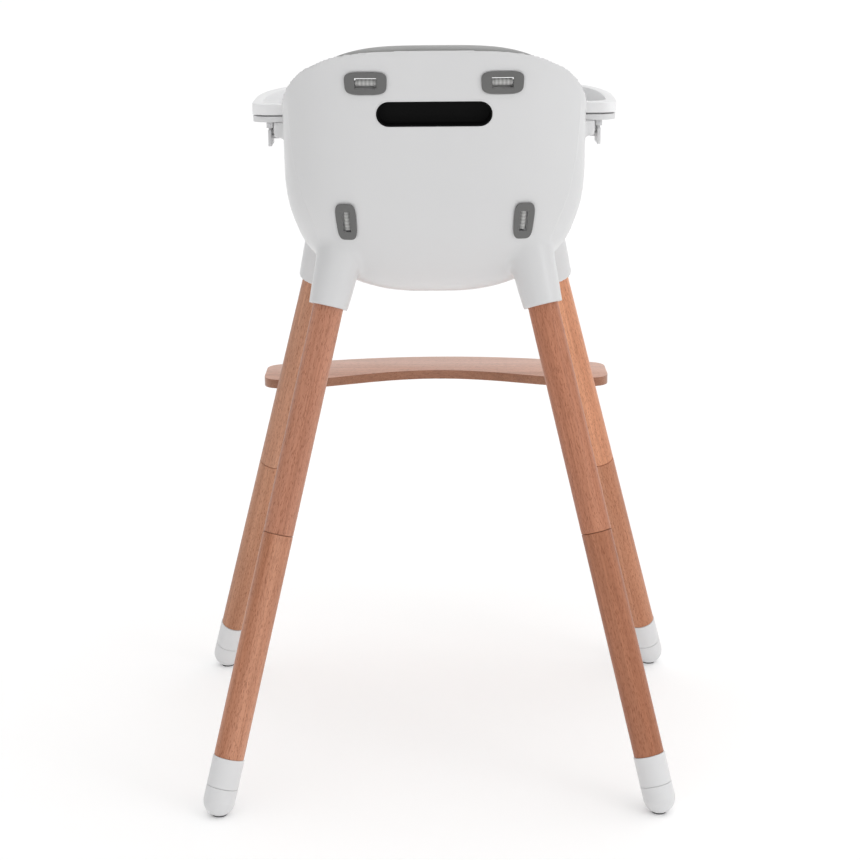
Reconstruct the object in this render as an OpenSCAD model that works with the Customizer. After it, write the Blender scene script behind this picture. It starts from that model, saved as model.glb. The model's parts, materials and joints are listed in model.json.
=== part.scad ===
// Baby high chair: a moulded bucket seat on four raked beech legs that unscrew half way down,
// with a footrest, a lift-off tray on two spring latches and a five-point harness.
// Frame: +Z up, Z = 0 on the floor, the child faces -Y and the child's left hand is on +X.

/* [Seat shell] */
// Half width of the bucket at the arms
shell_half_w = 190; // [182:1:194]
// Depth of the bucket behind its centre line
shell_back = 128; // [122:1:134]
// Depth of the bucket in front of its centre line
shell_front = 185; // [178:1:190]
// Height of the lowest point of the bucket
bowl_bottom = 619; // [612:1:624]
// Height over which the bowl curves up into upright walls
bowl_depth = 165; // [155:1:175]
// Height of the top rim of the backrest
rim_top = 936; // [920:1:945]
// Backward lean of the bucket, millimetres per millimetre of height
lean = 0.14; // [0.1:0.01:0.18]
// Wall thickness of the shell
wall = 5; // [4:0.5:6]
// Height of the top of the arms
arm_top = 835; // [830:1:836]
// Height of the front lip at its middle
lip_z = 690; // [680:1:705]

/* [Legs] */
// Radius of a beech leg
leg_r = 19; // [18:0.5:20]
// Half spacing of the rear feet
rear_foot_x = 276; // [266:1:286]
// Distance of the rear feet behind the centre
rear_foot_y = 249; // [240:1:256]
// Half spacing of the front feet
front_foot_x = 317; // [307:1:327]
// Distance of the front feet in front of the centre
front_foot_y = 249; // [240:1:256]
// Half spacing of the rear sockets at their mouths
rear_socket_x = 134; // [130:1:138]
// Half spacing of the front sockets at their mouths
front_socket_x = 159; // [155:1:162]
// Distance of all socket mouths from the centre
socket_y = 97; // [94:1:100]
// Height of the socket mouths
socket_z = 617.5; // [612:0.5:620]
// Distance up the leg from the foot centre to the screw joint
joint_at = 344.5; // [330:0.5:360]

/* [Feet] */
// Outer radius of the plastic feet
foot_r = 20; // [19.5:0.5:21]
// Height of the foot centre above the floor
foot_z = 17.4; // [17:0.1:18]
// Distance from the foot centre to the top of the sleeve
sleeve_top = 57.7; // [54:0.1:62]
// Distance from the foot centre to the seam of the tip
tip_seam = 19.6; // [18:0.1:22]

/* [Footrest] */
// Half width of the footrest board
rest_half_w = 242; // [236:1:246]
// Height of the underside of the board
rest_z = 450; // [440:1:456]
// Thickness of the board
rest_t = 12.5; // [11:0.5:15]

/* [Tray] */
// Half width of the tray
tray_half_w = 233; // [230:1:236]
// Y of the rear tips of the tray
tray_rear = -8; // [-14:1:-6]
// Y of the front edge of the tray
tray_front = -267; // [-268:1:-260]
// Height of the underside of the tray base
tray_z = 835.4; // [835.4:0.1:836]
// Height of the tray rim at its rear tips
tray_rim_rear = 858; // [856:1:862]
// Height of the tray rim at its front edge
tray_rim_front = 868; // [864:1:872]

/* [Harness] */
// Width of the webbing
web_w = 25; // [20:1:25]
// Thickness of the webbing
web_t = 1.6; // [1.2:0.1:2]
// Half spacing of the shoulder strap slots
upper_slot_x = 81; // [78:1:84]
// Height of the shoulder strap slots
upper_slot_z = 897; // [892:1:900]
// Half spacing of the waist strap slots
lower_slot_x = 108; // [104:1:110]
// Height of the waist strap slots
lower_slot_z = 728; // [724:1:732]

/* [Hidden] */

$fn = 64;
white = [0.93, 0.93, 0.93];
grey = [0.46, 0.46, 0.45];
pale_grey = [0.72, 0.72, 0.71];
beech = [0.75, 0.53, 0.42];
steel = [0.65, 0.65, 0.67];
black = [0.07, 0.07, 0.07];

frame_y = 14.3;        // shift that centres the footprint on the origin
seat_y = -10;          // centre line of the bucket at its lowest point
rim_knee = 800;        // height where the backrest's rounded rim outline starts
n_back = 3.5;          // squareness of the plan outline behind the centre line
n_front = 5;           // squareness of the plan outline in front of it
n_bowl = 2.3;          // squareness of the bowl's section
n_rim = 3.5;           // squareness of the backrest's outline seen from behind
gap = 0.3;             // clearance between pieces that lie against each other
run = 0.05;            // radial clearance of a pin or bolt in its hole
SIDES = [1, -1];
ROWS = ["rear", "front"];

function clamp01(t) = min(1, max(0, t));
function ease(t) = let (c = clamp01(t)) c * c * (3 - 2 * c);
function mix(a, b, t) = a + (b - a) * t;
function spow(v, e) = sign(v) * pow(abs(v), e);
function unit(v) = v / norm(v);

// ---- The bucket's surface, offset inwards by off ----
function fullness(z, off) =
    pow(1 - pow(1 - clamp01((z - bowl_bottom - off) / bowl_depth), n_bowl), 1 / n_bowl);
function centre_y(z) = seat_y + lean * (z - bowl_bottom);
function half_depth(front, off) = (front ? shell_front : shell_back) - off;
function shell_point(th, z, off) =
    let (f = fullness(z, off), front = sin(th) < 0, n = front ? n_front : n_back)
    [(shell_half_w - off) * f * spow(cos(th), 2 / n),
     centre_y(z) + half_depth(front, off) * f * spow(sin(th), 2 / n), z];
// Y of the backrest at a given x and height
function back_y(x, z, off) =
    centre_y(z) + half_depth(false, off) *
    pow(pow(fullness(z, off), n_back) - pow(abs(x) / (shell_half_w - off), n_back), 1 / n_back);
// Height of the bowl's floor at a given x and y
function floor_z(x, y, off) =
    let (dy = y - seat_y, front = dy < 0, n = front ? n_front : n_back,
         r = min(0.98, pow(pow(abs(x) / (shell_half_w - off), n)
             + pow(abs(dy) / half_depth(front, off), n), 1 / n)))
    bowl_bottom + off + bowl_depth * (1 - pow(1 - pow(r, n_bowl), 1 / n_bowl));
function rim_z(th) =
    let (x = shell_half_w * pow(abs(cos(th)), 2 / n_back), s = -sin(th),
         behind = rim_knee + (rim_top - rim_knee)
             * pow(1 - pow(x / (shell_half_w + 2), n_rim), 1 / n_rim))
    s <= 0 ? mix(arm_top, behind, ease(-s / 0.1)) : mix(arm_top, lip_z, ease((s - 0.62) / 0.34));

// Angles round the bucket, spaced so that the points of the outline are nearly even
RING = 72;
function ring_angle(i) =
    let (q = 360 * i / RING) q - 12 * sin(4 * q) / (1 + 0.5 * abs(sin(2 * q)));
LEVELS = 15;
function level(k) = pow(k / LEVELS, 1.7);

// A filled bucket: offset off, standing extra above the rim
module bucket(off, extra) {
    low = bowl_bottom + off;
    points = [
        [0, seat_y, low],
        for (k = [1:LEVELS], i = [0:RING - 1])
            let (th = ring_angle(i), top = rim_z(th) + extra) shell_point(th, mix(low, top, level(k)), off),
        [0, seat_y, arm_top + extra]
    ];
    last = 1 + LEVELS * RING;
    polyhedron(points, [
        for (i = [0:RING - 1]) [0, 1 + i, 1 + (i + 1) % RING],
        for (k = [0:LEVELS - 2], i = [0:RING - 1])
            let (a = 1 + k * RING + i, b = 1 + k * RING + (i + 1) % RING) [a, a + RING, b],
        for (k = [0:LEVELS - 2], i = [0:RING - 1])
            let (a = 1 + k * RING + i, b = 1 + k * RING + (i + 1) % RING) [b, a + RING, b + RING],
        for (i = [0:RING - 1]) [last, last - RING + (i + 1) % RING, last - RING + i]
    ]);
}

// Moves the chair so that its footprint is centred on the origin
module set_down() { translate([0, frame_y, 0]) children(); }

// ---- Local frames ----
// Directions along the shell, up it and out of its rear face, and the point (x, z) on the backrest
function back_frame(x, z) =
    let (u = unit([-1, (back_y(x - 1, z, 0) - back_y(x + 1, z, 0)) / 2, 0]),
         up = unit([0, (back_y(x, z + 1, 0) - back_y(x, z - 1, 0)) / 2, 1]),
         n = unit(cross(u, up)))
    [u, cross(n, u), n, [x, back_y(x, z, 0), z]];
module on_back(x, z) {
    f = back_frame(x, z);
    multmatrix([for (k = [0:2]) [f[0][k], f[1][k], f[2][k], f[3][k]]]) children();
}

function foot_of(side, row) = row == "rear"
    ? [side * rear_foot_x, rear_foot_y, foot_z] : [side * front_foot_x, -front_foot_y, foot_z];
function socket_of(side, row) = row == "rear"
    ? [side * rear_socket_x, socket_y, socket_z] : [side * front_socket_x, -socket_y, socket_z];
function leg_dir(side, row) = unit(socket_of(side, row) - foot_of(side, row));
function leg_length(row) = norm(socket_of(1, row) - foot_of(1, row));

// z up the leg's axis, at distance d from the foot's centre
module up_leg(side, row, d) {
    w = leg_dir(side, row);
    p = foot_of(side, row);
    u = unit(cross([0, 1, 0], w));
    v = cross(w, u);
    multmatrix([[u.x, v.x, w.x, p.x], [u.y, v.y, w.y, p.y], [u.z, v.z, w.z, p.z]])
        translate([0, 0, d]) children();
}
module each_leg() {
    for (row = ROWS, side = SIDES) {
        $row = row;
        $side = side;
        children();
    }
}

// ---- Seat shell ----
socket_r = 24.5;       // radius of a socket at its mouth
socket_top_r = 32;     // radius of a socket where it has run into the bowl
socket_h = 100;        // length of a socket, up into the bowl
fairing_h = 35;        // length of the taper that sinks the socket's top into the bowl
fairing_r = 16;
leg_in = 55;           // how far a leg goes into its socket
bolt_r = 4;            // M8 seat bolt
bolt_head_r = 7.5;
bolt_head_at = 64;     // distance of the bolt head above the socket's mouth
arm_out = 205;         // outer face of the arm rails
arm_drop = 19.5;       // height of the arm rails
arm_len = 112;
grip_half_w = 69.5;
grip_h = 31;
grip_z = 860;
slot_w = 31;           // hole for the anchor bar's length
slot_h = 11;
upper_slot_h = 13.4;
crotch_y = -55;

module stadium(half_w, h) {
    square([2 * half_w - h, h], center = true);
    for (s = SIDES) translate([s * (half_w - h / 2), 0]) circle(d = h);
}
// Four-sided outline whose sides bow outwards, wider at one end
function barrel_outline(w, h, taper) = [for (a = [0:7.5:352.5])
    let (x = spow(cos(a), 0.5), y = spow(sin(a), 0.5)) [x * (w + taper * y) / 2, y * h / 2]];
module barrel(w, h, taper, t) {
    linear_extrude(t) polygon(barrel_outline(w, h, taper));
}
module arm_rail(side) {
    mirror([side < 0 ? 1 : 0, 0, 0])
        translate([0, 0, arm_top - arm_drop]) linear_extrude(arm_drop) {
            translate([168, -arm_len + 8]) square([arm_out - 168 - 8, arm_len - 8]);
            translate([arm_out - 12, -arm_len + 8]) square([12, arm_len - 26]);
            translate([168, -arm_len]) square([arm_out - 168 - 8, 16]);
            translate([arm_out - 8, -arm_len + 8]) circle(r = 8);
            translate([arm_out - 19, -19]) circle(r = 19);
        }
}
module seat_shell() {
    color(white) set_down() difference() {
        union() {
            bucket(0, 0);
            each_leg() up_leg($side, $row, leg_length($row)) {
                cylinder(h = socket_h, r1 = socket_r, r2 = socket_top_r);
                translate([0, 0, socket_h]) cylinder(h = fairing_h, r1 = socket_top_r, r2 = fairing_r);
            }
            for (s = SIDES) arm_rail(s);
        }
        bucket(wall, 20);
        each_leg() up_leg($side, $row, leg_length($row)) {
            translate([0, 0, -5]) cylinder(h = leg_in + 5 + gap, r = leg_r + run);
            cylinder(h = 80, r = bolt_r + run);
            translate([0, 0, bolt_head_at - 0.2]) cylinder(h = 40, r = bolt_head_r + gap);
        }
        for (s = SIDES) {
            on_back(s * upper_slot_x, upper_slot_z)
                translate([-slot_w / 2, -upper_slot_h / 2, -12]) cube([slot_w, upper_slot_h, 20]);
            on_back(s * lower_slot_x, lower_slot_z)
                translate([-slot_h / 2, -slot_w / 2, -14]) cube([slot_h, slot_w, 22]);
        }
        on_back(0, grip_z) translate([0, 0, -12]) linear_extrude(20) stadium(grip_half_w, grip_h);
        translate([-15, crotch_y - 3, bowl_bottom - 5]) cube([30, 6, 30]);
    }
}
module hand_grip_cup() {
    color(black) set_down() on_back(0, grip_z) difference() {
        translate([0, 0, -15.5]) linear_extrude(15.2) stadium(grip_half_w - gap, grip_h - 2 * gap);
        translate([0, 0, -14]) linear_extrude(20) stadium(grip_half_w - 2, grip_h - 4);
    }
}

// ---- Harness hardware on the back ----
bezel_t = 1.8;
module bezel(w, h, taper, slot) {
    translate([0, 0, gap]) difference() {
        barrel(w, h, taper, bezel_t);
        translate([0, 0, -1]) linear_extrude(bezel_t + 2) square(slot, center = true);
    }
}
module upper_strap_bezels() {
    color(grey) set_down() for (s = SIDES) on_back(s * upper_slot_x, upper_slot_z)
        bezel(50.5, 27, 1.5, [26, 12.8]);
}
module lower_strap_bezels() {
    color(grey) set_down() for (s = SIDES) on_back(s * lower_slot_x, lower_slot_z)
        bezel(25, 49, 1.5, [9.6, 27]);
}
bar_r = 2.5;
bar_in = 4.4;          // depth of the anchor bars below the shell's face
module strap_anchor_bars() {
    color(steel) set_down() for (s = SIDES) {
        on_back(s * upper_slot_x, upper_slot_z) translate([0, 0, -bar_in]) rotate([0, 90, 0])
            cylinder(h = slot_w - 0.2, r = bar_r, center = true);
        on_back(s * lower_slot_x, lower_slot_z) translate([0, 0, -bar_in]) rotate([90, 0, 0])
            cylinder(h = slot_w - 0.2, r = bar_r, center = true);
    }
}

// ---- Cushions ----
pad_t = 14;
pad_clear = 0.6;
COLS = 28;
STEPS = 12;
// How far the cushion stands above the rim: most at the middle, and below the rim at the corners
function pad_over(th) =
    max(-6, 6 - 6 * pow(shell_half_w * pow(abs(cos(th)), 2 / n_back) / 132, 4));
// A slab that follows the inside of the bucket, between two angles and up to its rim
module wall_pad(th0, th1, z0, t) {
    near = wall + pad_clear;
    pts = [for (side = [0, 1], i = [0:COLS], k = [0:STEPS])
        let (th = mix(th0, th1, i / COLS), z = mix(z0, rim_z(th) + pad_over(th), k / STEPS))
            shell_point(th, z, near + (side == 1 ? t : 0))];
    m = STEPS + 1;
    half = (COLS + 1) * m;
    polyhedron(pts, concat(
        [for (i = [0:COLS - 1], k = [0:STEPS - 1]) let (a = i * m + k) each
            [[a, a + m, a + 1], [a + 1, a + m, a + m + 1],
             [half + a, half + a + 1, half + a + m], [half + a + 1, half + a + m + 1, half + a + m]]],
        [for (i = [0:COLS - 1]) let (a = i * m, b = a + m) each
            [[a, half + a, b], [b, half + a, half + b],
             [a + STEPS, b + STEPS, half + a + STEPS], [b + STEPS, half + b + STEPS, half + a + STEPS]]],
        [for (k = [0:STEPS - 1]) let (a = k, c = COLS * m + k) each
            [[a, a + 1, half + a], [a + 1, half + a + 1, half + a],
             [c, half + c, c + 1], [c + 1, half + c, half + c + 1]]]));
}
module back_cushion() {
    color(pale_grey) set_down() difference() {
        wall_pad(30, 150, 690, pad_t);
        for (s = SIDES) {
            on_back(s * upper_slot_x, upper_slot_z)
                translate([-16.5, -5, -40]) cube([33, 10, 50]);
            on_back(s * lower_slot_x, lower_slot_z)
                translate([-10, -18, -44]) cube([20, 36, 54]);
        }
        on_back(0, grip_z) translate([-grip_half_w - 2, -grip_h / 2 - 2, -17])
            cube([2 * grip_half_w + 4, grip_h + 4, 14]);
    }
}
pad_floor = 17;
seat_lift = 3.4;       // further clearance of the seat cushion above the bowl's floor
RAYS = 48;
module seat_cushion() {
    near = wall + pad_clear + seat_lift;
    function plan(th, r) =
        let (front = sin(th) < 0, n = front ? n_front : n_back)
        [(shell_half_w - near) * r * spow(cos(th), 2 / n),
         seat_y + half_depth(front, near) * r * spow(sin(th), 2 / n)];
    function under(th, r) = let (p = plan(th, r)) [p.x, p.y, floor_z(p.x, p.y, near)];
    rings = [0.25, 0.45, 0.6, 0.68, 0.72];
    top = [0.25, 0.45, 0.6, 0.66];
    levels = len(rings) + len(top);
    pts = [[0, seat_y, bowl_bottom + near],
        for (r = rings, i = [0:RAYS - 1]) under(i * 360 / RAYS, r),
        for (j = [len(top) - 1:-1:0], i = [0:RAYS - 1])
            under(i * 360 / RAYS, top[j]) + [0, 0, pad_floor - (j == len(top) - 1 ? 4 : 0)],
        [0, seat_y, bowl_bottom + near + pad_floor]];
    last = 1 + levels * RAYS;
    color(pale_grey) set_down() difference() {
        polyhedron(pts, [
            for (i = [0:RAYS - 1]) [0, 1 + i, 1 + (i + 1) % RAYS],
            for (k = [0:levels - 2], i = [0:RAYS - 1])
                let (a = 1 + k * RAYS + i, b = 1 + k * RAYS + (i + 1) % RAYS) each
                [[a, a + RAYS, b], [b, a + RAYS, b + RAYS]],
            for (i = [0:RAYS - 1]) [last, last - RAYS + (i + 1) % RAYS, last - RAYS + i]
        ]);
        translate([-15, crotch_y - 3, bowl_bottom]) cube([30, 6, 50]);
    }
}

// ---- Webbing ----
// Points of a smooth curve through pts, m to each span
function smooth(pts, m) = let (n = len(pts)) concat(
    [for (i = [0:n - 2], k = [0:m - 1])
        let (a = pts[max(i - 1, 0)], b = pts[i], c = pts[i + 1], d = pts[min(i + 2, n - 1)], t = k / m)
            (2 * b + (c - a) * t + (2 * a - 5 * b + 4 * c - d) * t * t
             + (3 * b - a - 3 * c + d) * t * t * t) / 2],
    [pts[n - 1]]);
// A flat band along a curve through points, each with the direction of its width
module band(knots, wides, w, t, m = 8) {
    path = smooth(knots, m);
    wide = smooth(wides, m);
    n = len(path);
    pts = [for (i = [0:n - 1])
        let (tangent = unit(path[min(i + 1, n - 1)] - path[max(i - 1, 0)]),
             s = unit(wide[i] - (wide[i] * tangent) * tangent), up = cross(tangent, s))
        each [for (c = [[-1, -1], [1, -1], [1, 1], [-1, 1]])
            path[i] + s * c.x * w / 2 + up * c.y * t / 2]];
    polyhedron(pts, concat(
        [[0, 1, 2], [0, 2, 3]],
        [for (i = [0:n - 2], c = [0:3]) let (a = 4 * i + c, b = 4 * i + (c + 1) % 4) each
            [[a, a + 4, b], [b, a + 4, b + 4]]],
        [[4 * n - 4, 4 * n - 2, 4 * n - 3], [4 * n - 4, 4 * n - 1, 4 * n - 2]]));
}
buckle_y = -22;
buckle_z = 668;
web_off = wall + pad_clear + pad_t + 2.5;   // depth of the webbing that lies on the cushion
sit = wall + pad_clear + seat_lift + pad_floor + 3; // height of the webbing above the bowl's floor
function on_pad(x, z) = [x, back_y(x, z, web_off), z];
function on_seat(x, y) = [x, y, floor_z(x, y, 0) + sit];
// The end of a strap, sewn round its anchor bar
module strap_loop() {
    difference() {
        cylinder(h = web_w, r = bar_r + run + web_t, center = true);
        cylinder(h = web_w + 2, r = bar_r + run, center = true);
    }
}
module shoulder_strap(s) {
    zs = [876, 850, 820, 790, 762];
    lie = [for (z = zs) let (x = mix(30, upper_slot_x, pow((z - 690) / 207, 0.8))) on_pad(s * x, z)];
    slot = on_pad(s * upper_slot_x, upper_slot_z);
    back = [s * upper_slot_x, back_y(upper_slot_x, upper_slot_z, 0) - bar_in - 3.5, upper_slot_z];
    path = concat([back, slot + [0, 1, -1]], lie,
        [on_pad(s * 40, 730) + [0, -14, -8], [s * 30, 34, 688], [s * 21, 6, 680]]);
    wide = [for (i = [0:len(path) - 1]) [1, 0, i < 2 ? 0 : -0.12 * s]];
    color(pale_grey) set_down() {
        band(path, wide, web_w, web_t);
        on_back(s * upper_slot_x, upper_slot_z) translate([0, 0, -bar_in]) rotate([0, 90, 0])
            strap_loop();
    }
}
module waist_strap(s) {
    x0 = s * lower_slot_x;
    inner = back_y(x0, lower_slot_z, web_off);
    f = back_frame(x0, lower_slot_z);
    path = [f[3] - f[2] * (bar_in + 4), f[3] - f[2] * 14, f[3] - f[2] * 24, [x0 - s * 14, inner - 22, 718],
        [s * 80, 40, 700], [s * 62, 16, 688], [s * 46, -2, 680], [s * 34, -14, 676]];
    wide = [f[1], f[1], f[1], [0, 0.2, 1], [0, 0.35, 0.9], [-0.1 * s, 0.6, 0.75],
        [-0.2 * s, 0.8, 0.5], [-0.2 * s, 0.9, 0.3]];
    color(pale_grey) set_down() {
        band(path, wide, web_w, web_t);
        on_back(x0, lower_slot_z) translate([0, 0, -bar_in]) rotate([90, 0, 0]) strap_loop();
    }
}
module crotch_strap() {
    low = bowl_bottom - 2.2;
    color(pale_grey) set_down() {
        band([[0, crotch_y, low], [0, crotch_y, bowl_bottom + sit], [0, crotch_y + 2, 656],
              [0, crotch_y + 8, 663], [0, buckle_y - 17.5, 667.5]],
             [for (i = [0:4]) [1, 0, 0]], web_w, web_t);
        translate([-17, crotch_y - 9, low - 1.6]) cube([34, 18, 3]);
    }
}
module shoulder_pads() {
    zs = [868, 850, 830, 810, 790];
    color(pale_grey) set_down() for (s = SIDES) {
        lie = [for (z = zs)
            let (x = mix(30, upper_slot_x, pow((z - 690) / 207, 0.8))) on_pad(s * x, z) + [0, -4.6, 0]];
        band(lie, [for (z = zs) [1, 0, -0.12 * s]], 44, 6);
    }
}
module strap_sliders() {
    color(black) set_down() for (s = SIDES)
        translate(on_pad(s * mix(30, upper_slot_x, pow((770 - 690) / 207, 0.8)), 770) + [0, -5, 0])
            rotate([-8, 0, 0]) difference() {
                cube([34, 4, 24], center = true);
                for (z = [-6, 6]) translate([0, 0, z]) cube([26, 6, 4.5], center = true);
            }
}

// ---- Buckle ----
buckle_w = 44;
buckle_l = 34;
buckle_t = 14;
button_r = 8;
button_travel = 3;
module in_buckle() { translate([0, buckle_y, buckle_z]) rotate([12, 0, 0]) children(); }
module buckle_body() {
    color(white) set_down() in_buckle() difference() {
        translate([0, 0, -buckle_t / 2]) linear_extrude(buckle_t)
            polygon(barrel_outline(buckle_w, buckle_l, 2));
        translate([0, 0, buckle_t / 2 - 8]) cylinder(h = 20, r = button_r + gap);
        for (s = SIDES) translate([s * 18, 5, 0]) cube([16, 13, 5], center = true);
    }
}
module buckle_button() {
    color(grey) set_down() in_buckle() translate([0, 0, buckle_t / 2 - 4.4]) cylinder(h = 6, r = button_r);
}
module buckle_tongues() {
    color(white) set_down() for (s = SIDES) in_buckle() {
        translate([s * 18, 5, 0]) cube([14, 12, 4], center = true);
        translate([s * 29, 5, 0]) difference() {
            cube([10, 30, 4.4], center = true);
            translate([s * 1.5, 0, 0]) cube([3, 25, 8], center = true);
        }
    }
}

// ---- Tray ----
tray_square = 2.5;     // squareness of the tray's rounded front
tray_mid = -60;        // Y where the straight sides end and the front starts
belly_half_w = 128;
belly_front = -92;
side_wall = 3;
base_t = 7;
insert_z = tray_z + base_t + 2;
base_floor = 3;
insert_floor = 3.3;
spigot_in = 9.6;       // inset of the insert's foot, which drops into the base
bracket_x = 206.5;
bracket_low = 820;
lever_x = 210.5;
lever_t = 4;
lever_low = 801.5;
hook_x = 201.5;        // tip of the hook, under the arm rail
hook_z = 810.5;
pivot_z = 829;
pivot_x = lever_x + lever_t / 2;
latch_y = -62;
latch_len = 46;
pin_r = 1.5;

// The tray's outline, offset inwards by o
function tray_outline(o) = concat(
    [for (a = [180:6:360])
        [(tray_half_w - o) * spow(cos(a), 2 / tray_square),
         tray_mid + (tray_mid - tray_front - o) * spow(sin(a), 2 / tray_square)]],
    [for (a = [0:15:90]) [tray_half_w - o - 20 + 20 * cos(a), tray_rear - o - 20 + 20 * sin(a)]],
    [for (a = [90:15:180]) [belly_half_w + o + 14 + 14 * cos(a), tray_rear - o - 14 + 14 * sin(a)]],
    [for (a = [0:-10:-180])
        [(belly_half_w + o) * cos(a), belly_front - o + 30 + 30 * sin(a)]],
    [for (a = [0:15:90]) [-belly_half_w - o - 14 + 14 * cos(a), tray_rear - o - 14 + 14 * sin(a)]],
    [for (a = [90:15:180]) [-tray_half_w + o + 20 + 20 * cos(a), tray_rear - o - 20 + 20 * sin(a)]]);
module slope_cut() {
    rise = tray_rim_front - tray_rim_rear;
    run_y = tray_rear - tray_front;
    translate([0, tray_rear, tray_rim_rear]) rotate([-atan2(rise, run_y), 0, 0])
        translate([-300, -400, 0]) cube([600, 440, 60]);
}
module tray_insert() {
    color(white) set_down() difference() {
        union() {
            translate([0, 0, insert_z]) linear_extrude(40) polygon(tray_outline(0));
            translate([0, 0, tray_z + base_floor + gap / 2])
                linear_extrude(base_t) polygon(tray_outline(spigot_in));
        }
        translate([0, 0, tray_z + base_floor + insert_floor])
            linear_extrude(60) polygon(tray_outline(spigot_in + side_wall));
        slope_cut();
    }
}
module latch_bracket() {
    for (y = [latch_y - latch_len / 2 + 4, latch_y + latch_len / 2 - 4])
        translate([pivot_x, y, pivot_z]) rotate([90, 0, 0]) difference() {
            translate([-4, -4, -2]) cube([8, tray_z - pivot_z + 5, 4]);
            cylinder(h = 10, r = pin_r + 0.01, center = true);
        }
}
module tray_base() {
    color(white) set_down() difference() {
        union() {
            translate([0, 0, tray_z]) linear_extrude(base_t) polygon(tray_outline(1));
            for (s = SIDES) mirror([s < 0 ? 1 : 0, 0, 0]) {
                translate([bracket_x, latch_y - latch_len / 2 + 9, bracket_low])
                    cube([2.2, latch_len - 18, tray_z - bracket_low + 1]);
                latch_bracket();
            }
        }
        translate([0, 0, tray_z + base_floor]) linear_extrude(10) polygon(tray_outline(9));
    }
}
// Lever plate with its pivot barrel at the top and its hook turned in under the arm rail
module tray_latch(s) {
    barrel_r = 3;
    color(white) set_down() mirror([s < 0 ? 1 : 0, 0, 0]) difference() {
        union() {
            translate([lever_x, latch_y - latch_len / 2, lever_low])
                cube([lever_t, latch_len, pivot_z - lever_low - 7]);
            translate([lever_x, latch_y - 15, lever_low + 10]) cube([lever_t, 30, pivot_z - lever_low - 10]);
            translate([hook_x, latch_y - 12, hook_z]) cube([lever_x - hook_x + 1, 24, 4.4]);
            translate([pivot_x, latch_y, pivot_z]) rotate([90, 0, 0])
                cylinder(h = 30, r = barrel_r, center = true);
        }
        translate([pivot_x, latch_y, pivot_z]) rotate([90, 0, 0])
            cylinder(h = 60, r = pin_r + run, center = true);
        translate([lever_x - 5, latch_y - 5, pivot_z - 5]) cube([14, 10, 12]);
    }
}
module latch_pins() {
    color(steel) set_down() for (s = SIDES) translate([s * pivot_x, latch_y, pivot_z]) rotate([90, 0, 0])
        cylinder(h = latch_len, r = pin_r, center = true);
}
// A torsion spring round the pin: rings of wire side by side
module latch_springs() {
    wire = 0.5;
    color(steel) set_down() for (s = SIDES, i = [-3:3])
        translate([s * pivot_x, latch_y + i * 2 * wire * 0.98, pivot_z]) rotate([90, 0, 0])
            rotate_extrude() translate([pin_r + 0.3 + wire, 0]) circle(r = wire, $fn = 16);
}

// ---- Legs ----
stud_r = 4;
stud_half = 26;
insert_r = 7;
sleeve_wall = 2.5;
spigot_r = foot_r - sleeve_wall - gap;
spigot_end = 12.3;
seam = 0.3;
screw_r = 2;

module chamfered(h, r, c) {
    cylinder(h = c, r1 = r - c, r2 = r);
    translate([0, 0, c]) cylinder(h = h - 2 * c, r = r);
    translate([0, 0, h - c]) cylinder(h = c, r1 = r, r2 = r - c);
}
module upper_leg(side, row) {
    long = leg_length(row) + leg_in - joint_at - seam;
    color(beech) set_down() difference() {
        up_leg(side, row, joint_at + seam) difference() {
            chamfered(long, leg_r, 0.6);
            translate([0, 0, -1]) cylinder(h = stud_half + 2, r = stud_r + run);
            translate([0, 0, long - 26]) cylinder(h = 30, r = insert_r + run);
        }
        if (row == "front") at_rest_screw(side) cylinder(h = 60, r = rest_screw_r + run);
    }
}
module lower_leg(side, row) {
    long = joint_at - seam - sleeve_top;
    color(beech) set_down() up_leg(side, row, sleeve_top) difference() {
        union() {
            chamfered(long, leg_r, 0.6);
            translate([0, 0, spigot_end - sleeve_top]) cylinder(h = 60, r = spigot_r);
        }
        translate([0, 0, long - 28]) cylinder(h = 30, r = insert_r + run);
        translate([0, 0, spigot_end - sleeve_top - 1]) cylinder(h = 26, r = screw_r + run);
    }
}
module leg_joint_studs() {
    color(steel) set_down() each_leg() up_leg($side, $row, joint_at - stud_half)
        cylinder(h = 2 * stud_half, r = stud_r);
}
module leg_joint_inserts() {
    color(steel) set_down() each_leg() up_leg($side, $row, joint_at - 27) difference() {
        cylinder(h = 26, r = insert_r);
        translate([0, 0, -1]) cylinder(h = 30, r = stud_r + run);
    }
}
module seat_bolts() {
    color(steel) set_down() each_leg() up_leg($side, $row, leg_length($row) + bolt_head_at) difference() {
        union() {
            cylinder(h = 5, r = bolt_head_r);
            translate([0, 0, -28]) cylinder(h = 29, r = bolt_r);
        }
        translate([0, 0, 2]) cylinder(h = 5, r = 3.4, $fn = 6);
    }
}
module seat_bolt_inserts() {
    color(steel) set_down() each_leg() up_leg($side, $row, leg_length($row) + leg_in - 25) difference() {
        cylinder(h = 24.5, r = insert_r);
        translate([0, 0, -1]) cylinder(h = 30, r = bolt_r + run);
    }
}

// ---- Feet ----
pad_r = 9;
foot_pad_t = 1.6;
module foot_sleeves() {
    color(white) set_down() each_leg() up_leg($side, $row, tip_seam + seam / 2) difference() {
        chamfered(sleeve_top - tip_seam - seam, foot_r, 0.5);
        translate([0, 0, -1]) cylinder(h = 60, r = foot_r - sleeve_wall);
    }
}
module foot_tips() {
    color(white) set_down() each_leg() difference() {
        up_leg($side, $row, 0) difference() {
            union() {
                translate([0, 0, 2]) sphere(r = foot_r);
                translate([0, 0, 2]) cylinder(h = tip_seam - seam / 2 - 2, r = foot_r);
            }
            translate([0, 0, spigot_end - gap]) cylinder(h = 40, r = spigot_r + gap);
            translate([0, 0, -40]) cylinder(h = 80, r = screw_r + gap);
            translate([0, 0, -40]) cylinder(h = 48, r = 4.6);
        }
        translate(foot_of($side, $row) + [-40, -40, -foot_z - 40 + foot_pad_t + 0.02]) cube([80, 80, 40]);
    }
}
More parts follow.
